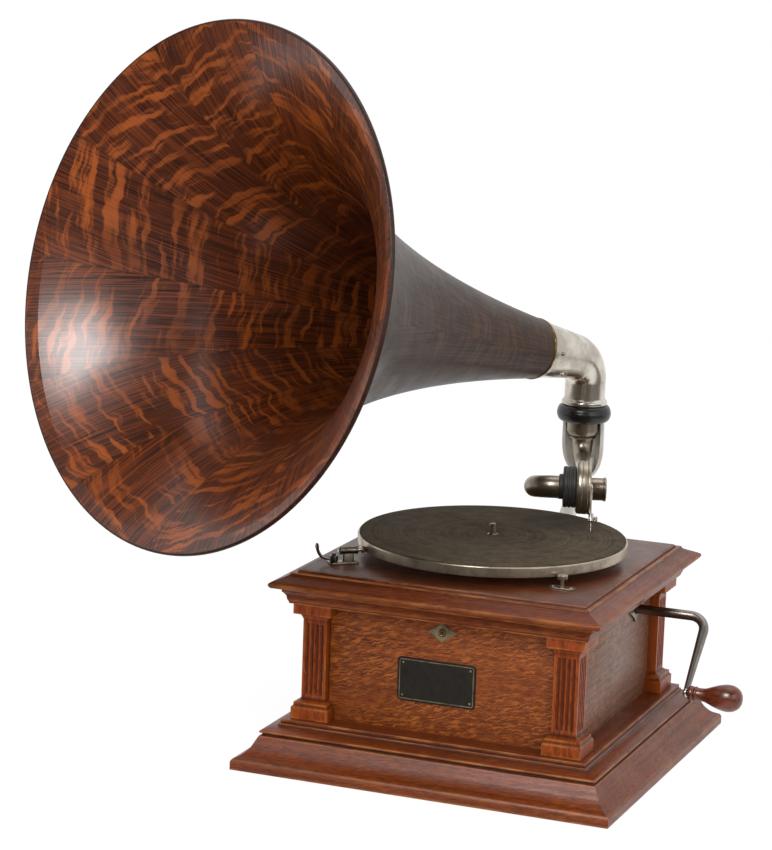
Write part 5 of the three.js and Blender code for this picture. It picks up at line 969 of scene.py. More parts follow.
@dataclass
class Case:
    """Oak case: boards, mouldings, corner posts and the raised motor board."""

    half: float = CASE_HALF
    board: float = 11.0
    top: float = 168.5
    bottom_half: float = 150.0
    bottom_height: float = 10.3
    plinth_half: float = 182.5
    plinth_edge: float = 8.0
    step_half: float = 162.7
    step_height: float = 31.0
    plinth_top_half: float = 147.6
    plinth_top: float = 44.6
    frieze_half: float = 149.6
    frieze_foot: float = 144.2
    frieze_bottom: float = 154.3
    lid_half: float = 159.5
    lid_nose: float = 172.4
    lid_step_half: float = 143.6
    lid_step: float = 183.4
    deck_half: float = 138.7
    deck_bottom: float = 176.6
    deck_top: float = DECK_TOP
    post_half: float = 133.7
    post_width: float = 23.5
    block_half: float = 141.0
    block_width: float = 37.0
    flute: float = 1.7
    flute_depth: float = 1.3
    flute_count: int = 4
    panel_edge: float = 0.4
    bottom_edge: float = 0.5
    deck_edge: float = 2.2

    def build(self) -> None:
        """Builds and dresses the whole case."""
        self.boards()
        self.mouldings()
        corners = ("back_right", "back_left", "front_left", "front_right")
        for i, corner in enumerate(corners):
            self.post(corner, i)

    def boards(self) -> None:
        """Adds the four case boards, the bottom board and the motor board."""
        reach = self.post_half - self.post_width - SEAT_GAP
        low, top, half, inner = self.bottom_height + SEAT_GAP, self.top, self.half, self.half - self.board
        base, deck = self.bottom_half, self.deck_half
        # Direction along the grain, direction across it, and how far the edges are eased.
        upright_x, upright_y = (X, Z, self.panel_edge), (Y, Z, self.panel_edge)
        flat = (X, Y, self.bottom_edge)
        boards = (
            ("case_front_board", (-reach, -half, low), (reach, -inner, top), upright_x, 0.0, Finish.PANEL),
            ("case_back_board", (-reach, inner, low), (reach, half, top), upright_x, 310.0, Finish.PANEL),
            # The right board takes the panel with the painted sheen.
            ("case_right_board", (inner, -reach, low), (half, reach, top), upright_y, 870.0,
             Finish.FADED_PANEL),
            ("case_left_board", (-half, -reach, low), (-inner, reach, top), upright_y, 1180.0, Finish.PANEL),
            ("bottom_board_wood", (-base, -base, 0), (base, base, self.bottom_height), flat, 1700.0,
             Finish.PANEL),
            ("motor_board_wood", (-deck, -deck, self.deck_bottom), (deck, deck, self.deck_top),
             (X, Y, self.deck_edge), 2100.0, Finish.DECK))
        for name, near, far, (along, across, edge), offset, finish in boards:
            skin = Skin().board(Vector(near), Vector(far), edge, along, across, offset)
            fit(skin, name, "case", (name.rsplit("_", 1)[0],), finish)

    def mouldings(self) -> None:
        """Adds the plinth, the frieze and the lid frame."""
        edge, step = (self.plinth_half, self.plinth_edge), (self.step_half, self.step_height)
        top = (self.plinth_top_half, self.plinth_top)
        cove = between(edge, step, ((0.07, 0.1), (0.42, 0.25), (0.7, 0.5), (0.88, 0.78), (1, 0.97)))
        lip = between(step, top, ((0.16, 0.02), (0.16, 0.12)))
        cap = between(step, top, ((0.04, 0.15), (0.0, 0.24), (0.1, 0.34), (0.45, 0.45), (0.85, 0.55),
                                  (0.9, 0.7), (1, 0.74)))
        profile = [(self.bottom_half + SEAT_GAP, 0), (self.plinth_half, 0), edge, *smoothed_flat(cove, 5),
                   *lip, *smoothed_flat(cap, 4), top, (self.half + SEAT_GAP, self.plinth_top)]
        self.moulding("plinth_wood", "plinth_moulding", rounded(profile, 0.9), 40.0)
        face = between((self.frieze_foot, self.frieze_bottom), (self.frieze_half, self.top),
                       ((0, 0), (0, 0.1), (0.25, 0.25), (0.4, 0.55), (0.8, 0.75), (1, 0.8), (1, 1)))
        profile = [(self.half + SEAT_GAP, self.frieze_bottom), *face]
        self.moulding("frieze_wood", "frieze_moulding", rounded(profile, 0.7), 900.0)
        low = self.top + SEAT_GAP
        nose = self.lid_nose - low
        slope = between((self.lid_half, self.lid_nose), (self.lid_step_half, self.lid_step),
                        ((0, 0), (0.05, 0.2), (0.35, 0.42), (0.75, 0.66), (0.97, 0.84), (1, 1)))
        profile = [(self.frieze_half - 8, low), (self.frieze_half + SEAT_GAP, low),
                   (self.lid_half - nose / 2, low + nose / 4), *smoothed_flat(slope, 4),
                   (self.deck_half + SEAT_GAP, self.lid_step), (self.deck_half + SEAT_GAP, self.deck_bottom)]
        self.moulding("lid_frame_wood", "lid_frame", rounded(profile, 0.8), 1500.0)

    def moulding(self, name: str, node: str, profile: list[Pair], offset: float) -> None:
        """Adds one mitred moulding.

        Args:
            name: Name of the piece.
            node: The solid that it stands for.
            profile: Half width and height of its lines, from below upwards.
            offset: Shift of its grain.
        """
        fit(Skin().moulding(profile, offset), name, "case", (node,), Finish.MOULDING, crease=28.0)

    def post(self, corner: str, index: int) -> None:
        """Adds one corner post with its base block, fluted shaft and capital.

        Args:
            corner: Name of the corner.
            index: Number of quarter turns from the back right corner.
        """
        low, high = self.plinth_top + SEAT_GAP, self.frieze_bottom - SEAT_GAP
        shaft_inner, block_inner = self.post_half - self.post_width, self.block_half - self.block_width
        base, shaft_low = low + 12.4, low + 18.0
        cove, shaft_high = high - 9.7, high - 15.3
        swell = (self.block_half - self.post_half) / 4
        bead = self.block_half - swell
        block, shaft = (self.block_half, block_inner), (self.post_half, shaft_inner)
        neck, bulge = (self.post_half + swell, shaft_inner - swell), (bead, block_inner + swell)
        outline = [(self.half, block_inner, low), (*block, low), (*block, base - swell), (*bulge, base),
                   (*bulge, base + 2.8), (*neck, base + 4.2), (*shaft, shaft_low)]
        ends = [shaft_low + 3.5, shaft_high - 3.5]
        flute, depth = self.flute, self.flute_depth
        steps = (-0.2, 0, 0.25, 0.6, 1.0, 1.7)
        marks = sorted({ends[0] + s for s in steps} | {ends[1] - s for s in steps})
        outline += [(*shaft, z) for z in marks]
        outline += [(*shaft, shaft_high), (*neck, shaft_high + 4.2), (*block, cove), (*block, high),
                    (self.half, block_inner, high)]
        outline = guarded(outline, FADE)
        pitch = self.post_width / (self.flute_count + 1)
        centres = [pitch * (i + 1) for i in range(self.flute_count)]
        spread = (-1, -0.9, -0.6, -0.3, 0, 0.3, 0.6, 0.9, 1)
        columns = sorted({0.0, self.post_width} | {c + flute * s for c in centres for s in spread})

        def dip(x: float, z: float) -> float:
            """Gives the depth of the flutes at a place across and up the shaft."""
            if not ends[0] <= z <= ends[1]:
                return 0.0
            end = min(z - ends[0], ends[1] - z) / flute
            side = min(abs(x - c) for c in centres) / flute
            fade = math.sqrt(max(1 - max(1 - end, 0.0) ** 2, 0.0))
            return depth * fade * math.sqrt(max(1 - side * side, 0.0))

        skin = Skin()
        lines = edge_marks([(h, z) for h, _, z in outline])
        for mirrored in (False, True):
            rows, grain, wear_and_painted_light = [], [], []
            for (half, inner, z), (wear_and_highlight, shade_and_seam) in zip(outline, lines):
                row, along, marked = [], [], []
                back = Vector((inner, self.half - 0.5, z))
                for x in columns:
                    across = inner + (half - inner) * x / self.post_width
                    sunk = dip(x, z) if half == self.post_half else 0.0
                    row.append(Vector((across, half - sunk, z)))
                    along.append((z + 55.0 * index, across + 97.0 * index + (400 if mirrored else 0)))
                    # Rubbing with a painted highlight on the post's corners; painted shade in the flutes,
                    # deeper where they sink.
                    corner_wear_and_highlight = 0.8 if x == self.post_width else (0.35 if x == 0.0 else 0.0)
                    marked.append((max(wear_and_highlight, corner_wear_and_highlight), max(shade_and_seam, sunk / depth * 0.75)))
                rows.append([back, *row])
                grain.append([(z, -30.0), *along])
                # The back edge, where the post meets the case, gets painted shade.
                wear_and_painted_light.append([(0.0, 0.5), *marked])
            if mirrored:
                rows = [[Vector((p.y, p.x, p.z)) for p in row] for row in rows]
            skin.grid(rows, {Layer.GRAIN: grain, Layer.MARKS: wear_and_painted_light})
        spin = turned_about("Z", index * QUARTER)
        skin.points = [spin @ p for p in skin.points]
        fit(skin, f"post_{corner}_wood", "case", (f"post_{corner}",), Finish.POST, crease=38.0)


@dataclass
class Trim:
    """Lock with its plate, bare name plate and the crank's plate."""

    lock_height: float = 140.6
    plate_thickness: float = 1.4
    name_centre: Pair = (-4.0, 93.2)
    name_size: Pair = (76.0, 41.2)
    pin_inset: float = 5.2

    def build(self) -> None:
        """Builds and dresses all of the trim."""
        self.lock()
        self.name_plate()
        self.crank_plate()

    def lock(self) -> None:
        """Adds the lock's diamond plate with two pins, and the cylinder with its key slot."""
        place = moved(0, -CASE_WALL, self.lock_height) @ ON_FRONT
        skin = Skin().plate(diamond(28.0, 18.6, 0.03), self.plate_thickness, 0.5, place, hole=3.9)
        for side in (-1, 1):
            skin.screw(1.0, 0.6, 0.18, place @ moved(side * 9.2, 0, self.plate_thickness - 0.05))
        fit(skin, "lock_plate_metal", "case", ("lock_plate",), Finish.ESCUTCHEON)
        face = 2.5
        rim = [(3.4, -6.0), (3.4, face - 0.4), (3.0, face), (2.4, face), (2.3, face - 0.5), (0.0, face - 0.5)]
        skin = Skin().lathe(rounded(rim, 0.25), 48, place)
        skin.plate(rounded_box(1.1, 3.4, 0.5, 3), 0.06, 0.02, place @ moved(0, 0, face - 0.5), finish=1)
        fit(skin, "lock_cylinder_metal", "lock", ("lock_cylinder",), Finish.BRASS, Finish.ENAMEL)

    def name_plate(self) -> None:
        """Adds the bare black plate with its raised border and four pins."""
        place = moved(self.name_centre[0], -CASE_WALL, self.name_centre[1]) @ ON_FRONT
        width, drop = self.name_size
        shape = rounded_box(width, drop, 3.6)
        top = self.plate_thickness
        field = top - 0.35
        bands = [(0.0, 0.0, 0), (0.0, top - 0.6, 0), (0.25, field, 0), (1.7, field, 1), (1.8, top, 1),
                 (2.5, top, 1), (2.6, field, 0), (3.2, field, 0)]
        rings = [[place @ Vector((x, y, h)) for x, y in drawn_in(shape, inset)] for inset, h, _ in bands]
        skin = Skin()
        for i in range(len(rings) - 1):
            skin.grid(rings[i:i + 2], closed=True, finish=bands[i][2])
        skin.cap(rings[-1])
        across, up = width / 2 - self.pin_inset, drop / 2 - self.pin_inset
        for x in (-1, 1):
            for z in (-1, 1):
                skin.screw(1.1, 0.6, 0.0001, place @ moved(x * across, z * up, field - 0.01), 1)
        fit(skin, "name_plate_bare", "case", ("name_plate",), Finish.PLATE, Finish.ESCUTCHEON)

    def crank_plate(self) -> None:
        """Adds the diamond plate with its hole and two screws on the right side."""
        place = moved(CASE_WALL, *CRANK_HOLE) @ turned_about("Z", QUARTER) @ ON_FRONT
        skin = Skin().plate(diamond(42.0, 26.0, 0.05), self.plate_thickness, 0.5, place, hole=5.2)
        for side in (-1, 1):
            skin.screw(1.7, 0.9, 0.25, place @ moved(side * 13.5, 0, self.plate_thickness - 0.05))
        fit(skin, "crank_plate_metal", "case", ("crank_plate",), Finish.FITTING)


@dataclass
class Turntable:
    """Nickelled turntable with its felt and the spindle's pin."""

    radius: float = 127.0
    rim_bottom: float = 195.7
    top: float = 205.7
    felt_radius: float = 125.4
    felt_bottom: float = 206.0
    hole_radius: float = 3.9
    pin_radius: float = 3.6
    pin_tip: float = 217.9

    def build(self) -> None:
        """Builds and dresses the turntable."""
        place = moved(0, SPINDLE_Y, 0)
        under = self.top - 2.4
        hub, rim = 196.5, self.radius
        profile = [(self.hole_radius, hub), (13.0, hub), (15.6, under), (rim - 3.0, under),
                   (rim - 2.6, self.rim_bottom + 1.0), (rim - 1.8, self.rim_bottom),
                   (rim - 0.6, self.rim_bottom), (rim, self.rim_bottom + 0.7), (rim, self.top - 0.8),
                   (rim - 0.7, self.top), (self.hole_radius, self.top)]
        turn(profile, 0.5, 180, place, "turntable_metal", "turntable", "turntable", Finish.RIM_NICKEL)
        low, high, r = self.felt_bottom, FELT_TOP, self.felt_radius
        profile = [(self.hole_radius, low), (r - 0.2, low), (r, low + 0.4), (r - 0.3, high - 0.25),
                   (r - 1.2, high), (5.5, high), (4.6, high - 0.3), (self.hole_radius, low)]
        fit(Skin().lathe(profile, 180, place), "felt_pad", "turntable", ("turntable_felt",), Finish.FELT)
        pin, tip = self.pin_radius, self.pin_tip
        profile = [(pin, low), (pin, tip - 2.6), (pin - 0.5, tip - 1.1), (pin - 1.7, tip - 0.25), (0.0, tip)]
        skin = Skin().lathe(rounded(profile, 0.6), 48, place)
        washer = [(3.61, 206.6), (5.3, 206.9), (5.3, 207.6), (4.4, 208.2), (3.61, 208.3)]
        skin.lathe(rounded(washer, 0.4), 48, place, finish=1)
        fit(skin, "spindle_pin", "turntable", (), Finish.WORN_NICKEL, Finish.STEEL)
        repaint(Finish.STEEL, "spindle")


@dataclass
class Crank:
    """Cranked steel shaft with its ball end and turning wooden knob."""

    rest: float = math.radians(46.6)
    reach: float = 196.0
    throw: float = 83.6
    bend_radius: float = 16.0
    shaft_radius: float = 4.6
    tip_radius: float = 2.7
    eye_radius: float = 4.1
    knob_length: float = 51.0
    knob_radius: float = 12.6

    def build(self) -> None:
        """Builds and dresses the crank."""
        home = moved(0, *CRANK_HOLE) @ turned_about("X", -self.rest)
        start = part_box("crank")[0].x / MM
        arc = bend(Vector((self.reach, 0, 0)), X, -Z, self.bend_radius, 16)
        path = [Vector((start, 0, 0)), Vector((start + 60, 0, 0)), *arc]
        arm_steps = 10
        low = -self.bend_radius
        drop = low + self.throw
        path += [Vector((self.reach, 0, low + drop * -i / arm_steps)) for i in range(1, arm_steps + 1)]
        bent = len(path) - arm_steps
        radii = [self.shaft_radius if i < bent else
                 self.shaft_radius + (self.tip_radius - self.shaft_radius) * (i - bent + 1) / arm_steps
                 for i in range(len(path))]
        skin = Skin().sweep(path, [(r, r) for r in radii], Y, 32, home)
        end = home @ moved(self.reach, 0, -self.throw) @ ALONG_X
        skin.lathe(pearl(self.eye_radius, self.eye_radius * 0.66, 14), 32, end, finish=1)
        knob_face = self.tip_radius + SEAT_GAP
        skin.lathe([(2.0, 0.0), (2.0, self.knob_length - 4)], 20, end)
        fit(skin, "crank_bar", "crank", ("crank",), Finish.CRANK_STEEL, Finish.NICKEL)
        repaint(Finish.STEEL, "crank_pinion")
        shares = [(0, 0.2), (0, 0.46), (0.02, 0.54), (0.05, 0.56), (0.08, 0.54), (0.095, 0.49), (0.11, 0.53),
                  (0.13, 0.55), (0.15, 0.53), (0.17, 0.48), (0.3, 0.5), (0.42, 0.68), (0.55, 0.87), (0.7, 1),
                  (0.83, 0.95), (0.93, 0.72), (0.985, 0.38), (1, 0)]
        curve = [(p.y * self.knob_radius, knob_face + p.x * self.knob_length) for p in smoothed(shares, 4)]
        fit(Skin().lathe(curve, 56, end), "crank_knob_wood", "crank_knob", ("crank_knob",), Finish.KNOB)


@dataclass
class ToneArm:
    """Tone arm, gooseneck and sound box, placed from the arm's pivot outwards."""

    angle: float = math.radians(19.9)
    cross_reach: float = 160.0
    cross_height: float = 235.8
    box_reach: float = 197.0
    box_height: float = 245.0
    needle_reach: float = 221.4
    needle_gap: float = 0.35
    box_radius: float = 25.6
    tube_bend: float = 19.0
    cup_radius: float = 11.4
    bend_end_radius: float = 7.6
    tube_end_radius: float = 6.4

    def build(self) -> None:
        """Builds and dresses the arm with all that it carries."""
        self.home = moved(0, PIVOT_Y, 0) @ turned_about("Z", self.angle)
        up, out = self.box_height - self.cross_height, self.box_reach - self.cross_reach
        self.rise = math.atan2(up, out)
        self.spread = math.hypot(up, out)
        self.neck = self.home @ moved(0, -self.cross_reach, self.cross_height) @ turned_about("X", -self.rise)
        self.box = self.neck @ moved(0, -self.spread, 0)
        self.arm()
        self.gooseneck()
        self.sound_box()
        self.needle_bar()

    def arm(self) -> None:
        """Adds the cup, the bent and tapered tube, and the cross tube with its bead."""
        z = self.cross_height
        corner = Vector((0, 0, z))
        arc = bend(corner, -Z, -Y, self.tube_bend, 20)
        arm_end = self.cross_reach - self.tube_bend
        run = [Vector((0, -self.tube_bend - arm_end * i / 12, z)) for i in range(1, 13)]
        path = [Vector((0, 0, 258.0)), *arc, *run]
        wide, middle, narrow = self.cup_radius, self.bend_end_radius, self.tube_end_radius
        radii = [wide + (middle - wide) * i / len(arc) if i <= len(arc) else
                 middle + (narrow - middle) * (i - len(arc)) / len(run) for i in range(len(path))]
        skin = Skin().sweep(path, [(r, r) for r in radii], X, 40, self.home)
        cup = [(0.0, 256.6), (9.5, 256.6), (12.6, 257.4), (15.0, 259.2), (16.3, 262.0), (16.3, 276.0)]
        skin.lathe(rounded(cup, 1.2), 64, self.home)
        skin.lathe(rounded([(11.2, 254.6), (13.2, 255.0), (13.4, 256.0), (12.2, 257.0)], 0.5), 64, self.home)
        across = self.home @ moved(0, -self.cross_reach, z) @ ALONG_X
        tube = [(9.2, -25.0), (10.7, -25.0), (10.9, -24.6), (10.9, 15.8), (11.3, 16.2), (11.6, 16.9),
                (11.6, 18.0), (11.2, 18.7), (10.4, 19.0), (9.6, 18.6), (0.0, 18.3)]
        skin.lathe(rounded(tube, 0.4), 64, across)
        saddle = [(8.2, 0.0), (7.4, 1.2), (6.9, 2.6), (6.5, 4.4)]
        onto = self.home @ moved(0, -self.cross_reach + 9.4, z) @ turned_about("X", -QUARTER)
        skin.lathe(saddle, 48, onto)
        fit(skin, "tone_arm_tube", "tone_arm", ("tone_arm",), Finish.AGED_NICKEL)

    def gooseneck(self) -> None:
        """Adds the U-shaped tube between the cross tube and the sound box."""
        radius = self.spread / 2
        shoulder, bend_x, collar = -25.3, -31.5, -28.2
        path = [Vector((shoulder, 0, 0))]
        for i in range(33):
            a = math.pi * i / 32
            path.append(Vector((bend_x - radius * math.sin(a), -radius + radius * math.cos(a), 0)))
        path.append(Vector((collar, -self.spread, 0)))
        skin = Skin().sweep(path, [(10.2, 10.2)] * len(path), Z, 44, self.neck)
        skin.lathe(rounded([(10.0, -2.4), (10.75, -2.2), (10.75, -0.5), (10.0, -0.2)], 0.5), 56,
                   self.neck @ moved(shoulder, 0, 0) @ ALONG_X)
        fit(skin, "gooseneck_tube", "gooseneck", ("gooseneck",), Finish.AGED_NICKEL)

    def sound_box(self) -> None:
        """Adds the rubber flange, the case, the front ring and the diaphragm."""
        axis = self.box @ ALONG_X
        rubber = [(8.0, -27.9), (11.4, -27.9), (12.0, -27.3), (12.0, -24.6), (12.8, -23.9), (18.6, -23.9),
                  (19.4, -23.2), (19.8, -21.9), (19.8, -20.6), (19.1, -20.1), (19.1, -19.0), (19.8, -18.5),
                  (19.8, -16.9), (19.1, -16.4), (19.1, -15.4), (19.8, -14.9), (19.8, -12.3), (8.0, -12.3)]
        turn(rubber, 0.5, 96, axis, "rubber_flange_ring", "gooseneck", "rubber_flange", Finish.RUBBER)
        r = self.box_radius
        shell = [(6.0, -12.0), (21.8, -12.0), (24.2, -11.2), (25.2, -10.0), (r, -8.0), (r, -6.6),
                 (25.2, -6.3), (25.2, -5.7), (r, -5.4), (r, -0.9), (23.6, -0.9), (23.6, -1.7), (21.6, -1.7),
                 (21.6, -8.0), (6.0, -8.0)]
        turn(shell, 0.6, 120, axis, "sound_box_case", "gooseneck", "soundbox_case", Finish.WORN_NICKEL)
        ring = [(21.5, -0.6), (r, -0.6), (r, 1.0), (25.2, 1.7), (24.6, 2.0), (22.5, 2.0), (21.9, 1.6),
                (21.5, 0.8), (21.5, -0.6)]
        turn(ring, 0.5, 120, axis, "sound_box_ring", "gooseneck", "soundbox_ring", Finish.WORN_NICKEL)
        skin = Skin().lathe([(0.0, -0.9), (14.0, -0.92), (23.3, -0.9), (23.3, -1.4), (0.0, -1.4)], 72, axis)
        fit(skin, "mica_diaphragm", "gooseneck", ("diaphragm",), Finish.MICA)

    def needle_bar(self) -> None:
        """Adds the stylus bar with its socket, the needle and the thumbscrew."""
        drop = self.box_height - FELT_TOP - self.needle_gap
        out = self.needle_reach - self.box_reach
        tilt = math.atan2(out, drop)
        length = math.hypot(out, drop)
        home = self.box @ turned_about("X", self.rise - tilt)
        centre = 4.6 - 1.3
        low, top = -34.9, -25.9
        path = smoothed([(2.5, 0, 2.6), (3.3, 0, 1.2), (3.3, 0, -3), (3.2, 0, -12), (3.2, 0, -22),
                         (3.3, 0, top - 1.0)], 5)
        radii = [(1.1 + 0.6 * min(i / 20, 1), 0.85) for i in range(len(path))]
        skin = Skin().sweep(path, radii, Y, 24, home)
        hub = [(0.0, -1.5), (2.6, -1.5), (2.9, -1.0), (2.9, 0.6), (2.2, 1.2), (0.0, 1.3)]
        skin.lathe(rounded(hub, 0.4), 40, home @ moved(3.2, 0, 0) @ ALONG_X)
        socket = [(0.0, low), (2.2, low), (2.6, low + 0.6), (2.6, top - 1.2), (2.0, top - 0.3), (0.0, top)]
        skin.lathe(rounded(socket, 0.4), 40, home @ moved(centre, 0, 0))
        fit(skin, "stylus_bar_metal", "stylus", ("stylus_bar",), Finish.NICKEL)
        shank = low + 4.2
        point = [(0.0, -length), (0.25, -length + 0.1), (0.8, 4.0 - length), (0.8, shank), (0.0, shank)]
        skin = Skin().lathe(point, 24, home @ moved(centre, 0, 0))
        fit(skin, "needle_steel", "stylus", ("needle",), Finish.STEEL)
        screw = [(0.0, 1.1), (1.1, 1.1), (1.1, 2.9), (2.9, 2.9), (3.2, 3.2), (3.2, 5.8), (2.9, 6.1),
                 (1.2, 6.3), (0.0, 6.3)]
        place = home @ moved(centre, 0, low + 2.25) @ ALONG_X
        turn(screw, 0.2, 120, place, "needle_thumbscrew", "needle_screw", "needle_screw", Finish.NICKEL,
             ripple=lambda a: 1 - 0.03 * (1 + math.cos(30 * a)))


@dataclass
class Support:
    """Black knuckle ring and the plated bracket behind the case."""

    height: float = 281.1
    radius: float = 27.4
    depth: float = 17.0

    def build(self) -> None:
        """Builds and dresses the ring and the bracket."""
        place = moved(0, PIVOT_Y, 0)
        low, high = self.height - self.depth / 2, self.height + self.depth / 2
        flat = self.radius - self.depth / 3
        bulge = [(flat + self.depth / 3 * math.cos(a), self.height + self.depth / 2 * math.sin(a))
                 for a in (-QUARTER + math.pi * i / 24 for i in range(25))]
        groove = [(r - (0.35 if abs(z - self.height - 2.8) < 0.55 else 0.0), z) for r, z in bulge]
        bore = [(21.0, high), (21.0, self.height), (19.4, self.height), (16.7, low)]
        skin = Skin().lathe([(16.7, low), *groove, *bore], 96, place)
        fit(skin, "knuckle_ring_enamel", "case", ("knuckle_ring",), Finish.ENAMEL)
        self.bracket(place, low - SEAT_GAP)

    def bracket(self, place: Matrix, top: float) -> None:
        """Adds the bracket's shell, its curved stem and its screwed flange.

        Args:
            place: The pivot's place.
            top: Height of the shell's top.
        """
        radius, wall, bottom, depth = 21.6, 3.2, 214.0, 12.0
        shares = [(0, 1, 0), (0.35, 1.01, 0), (0.6, 0.97, 0.06), (0.8, 0.82, 0.2), (0.93, 0.6, 0.36),
                  (1, 0.44, 0.5)]
        half_turn = [math.pi * i / 28 for i in range(29)]
        rows = []
        for fall, wide, back in smoothed(shares, 5):
            z = top + (bottom - top) * fall
            outer = radius * wide
            sides = ((outer, half_turn), (outer - wall, half_turn[::-1]))
            ring = [(r * math.cos(a), back * radius + r * math.sin(a)) for r, angles in sides for a in angles]
            rows.append([place @ Vector((x, y, z)) for x, y in ring])
        skin = Skin().grid(rows, closed=True).cap(rows[0]).cap(rows[-1])
        flange_height, thick = 108.0, 6.0
        face = CASE_WALL + thick
        stem = [(0.98, 0.05), (0.93, -0.1), (0.82, -0.2), (0.64, -0.36), (0.42, -0.6), (0.2, -0.86),
                (-0.005, -1)]
        stem_top = bottom + depth
        back = PIVOT_Y + radius * 0.75
        drop = stem_top - flange_height
        path = [Vector((0, face + (back - face) * p.x - PIVOT_Y, stem_top + drop * p.y))
                for p in smoothed(stem, 5)]
        skin.sweep(path, [(8.8, depth / 2)] * len(path), X, 36, place)
        flange = moved(0, CASE_WALL, flange_height) @ turned_about("X", -QUARTER)
        skin.plate(rounded_box(52.0, 78.0, 5.0), thick, 1.0, flange)
        for x in (-18, 18):
            for z in (-30, 30):
                skin.screw(3.4, 1.6, 0.45, flange @ moved(x, z, thick - 0.1))
        fit(skin, "back_bracket_metal", "case", ("back_bracket",), Finish.SATIN)


@dataclass
class Elbow:
    """Plated elbow that turns in the knuckle and takes the horn."""

    mouth_reach: float = 79.3
    foot_radius: float = 20.6
    bend_radius: float = 22.8
    mouth_radius: float = 29.4
    wall: float = 2.2

    def build(self) -> None:
        """Builds and dresses the elbow with its foot and two screws."""
        home = moved(0, PIVOT_Y, 0) @ turned_about("Z", HORN_AZIMUTH)
        out = Vector((math.cos(HORN_ELEVATION), 0, math.sin(HORN_ELEVATION)))
        corner = Vector((0, 0, HORN_HEIGHT))
        arc = bend(corner, Z, out, 30.0, 28)
        end = corner + out * self.mouth_reach
        run = [arc[-1].lerp(end, i / 10) for i in range(1, 11)]
        path = [Vector((0, 0, 281.4)), Vector((0, 0, 296.0)), *arc, *run]
        swell = self.bend_radius - self.foot_radius
        radii = [self.foot_radius + swell * max(i - 2, 0) / (len(arc) - 1) if i < len(arc) + 2 else
                 self.bend_radius + (self.mouth_radius - self.bend_radius) * (i - len(arc) - 1) / len(run)
                 for i in range(len(path))]
        skin = Skin()
        for inset in (0.0, self.wall):
            widths = [(r - inset, r - inset) for r in radii]
            skin.sweep(path, widths, Y, 72, home, closed=False)
        mouth = home @ Matrix.Translation(end) @ turned_about("Y", QUARTER - HORN_ELEVATION)
        lip = [(27.2, -0.2), (27.6, 0.0), (29.2, 0.0), (29.6, -0.6), (29.6, -4.4), (29.2, -5.0), (28.0, -5.4)]
        skin.lathe(rounded(lip, 0.4), 96, mouth)
        foot = [(19.0, 289.9), (22.2, 289.9), (23.0, 290.7), (23.0, 293.6), (22.2, 294.6), (21.2, 295.6),
                (self.foot_radius, 296.6)]
        skin.lathe(rounded(foot, 0.6), 96, moved(0, PIVOT_Y, 0))
        fit(skin, "elbow_tube", "elbow", ("horn_elbow",), Finish.NICKEL)
        screws = Skin()
        head = rounded([(0.0, 2.2), (1.6, 2.2), (2.0, 1.6), (2.0, -1.5)], 0.4)
        for side in (-1, 1):
            face = home @ moved(*(end - out * 12)) @ turned_about("X", -side * QUARTER) @ moved(0, 0, 27.6)
            screws.lathe(head, 28, face @ turned_about("Z", side * QUARTER))
        fit(screws, "elbow_screws", "elbow", (), Finish.WORN_NICKEL)


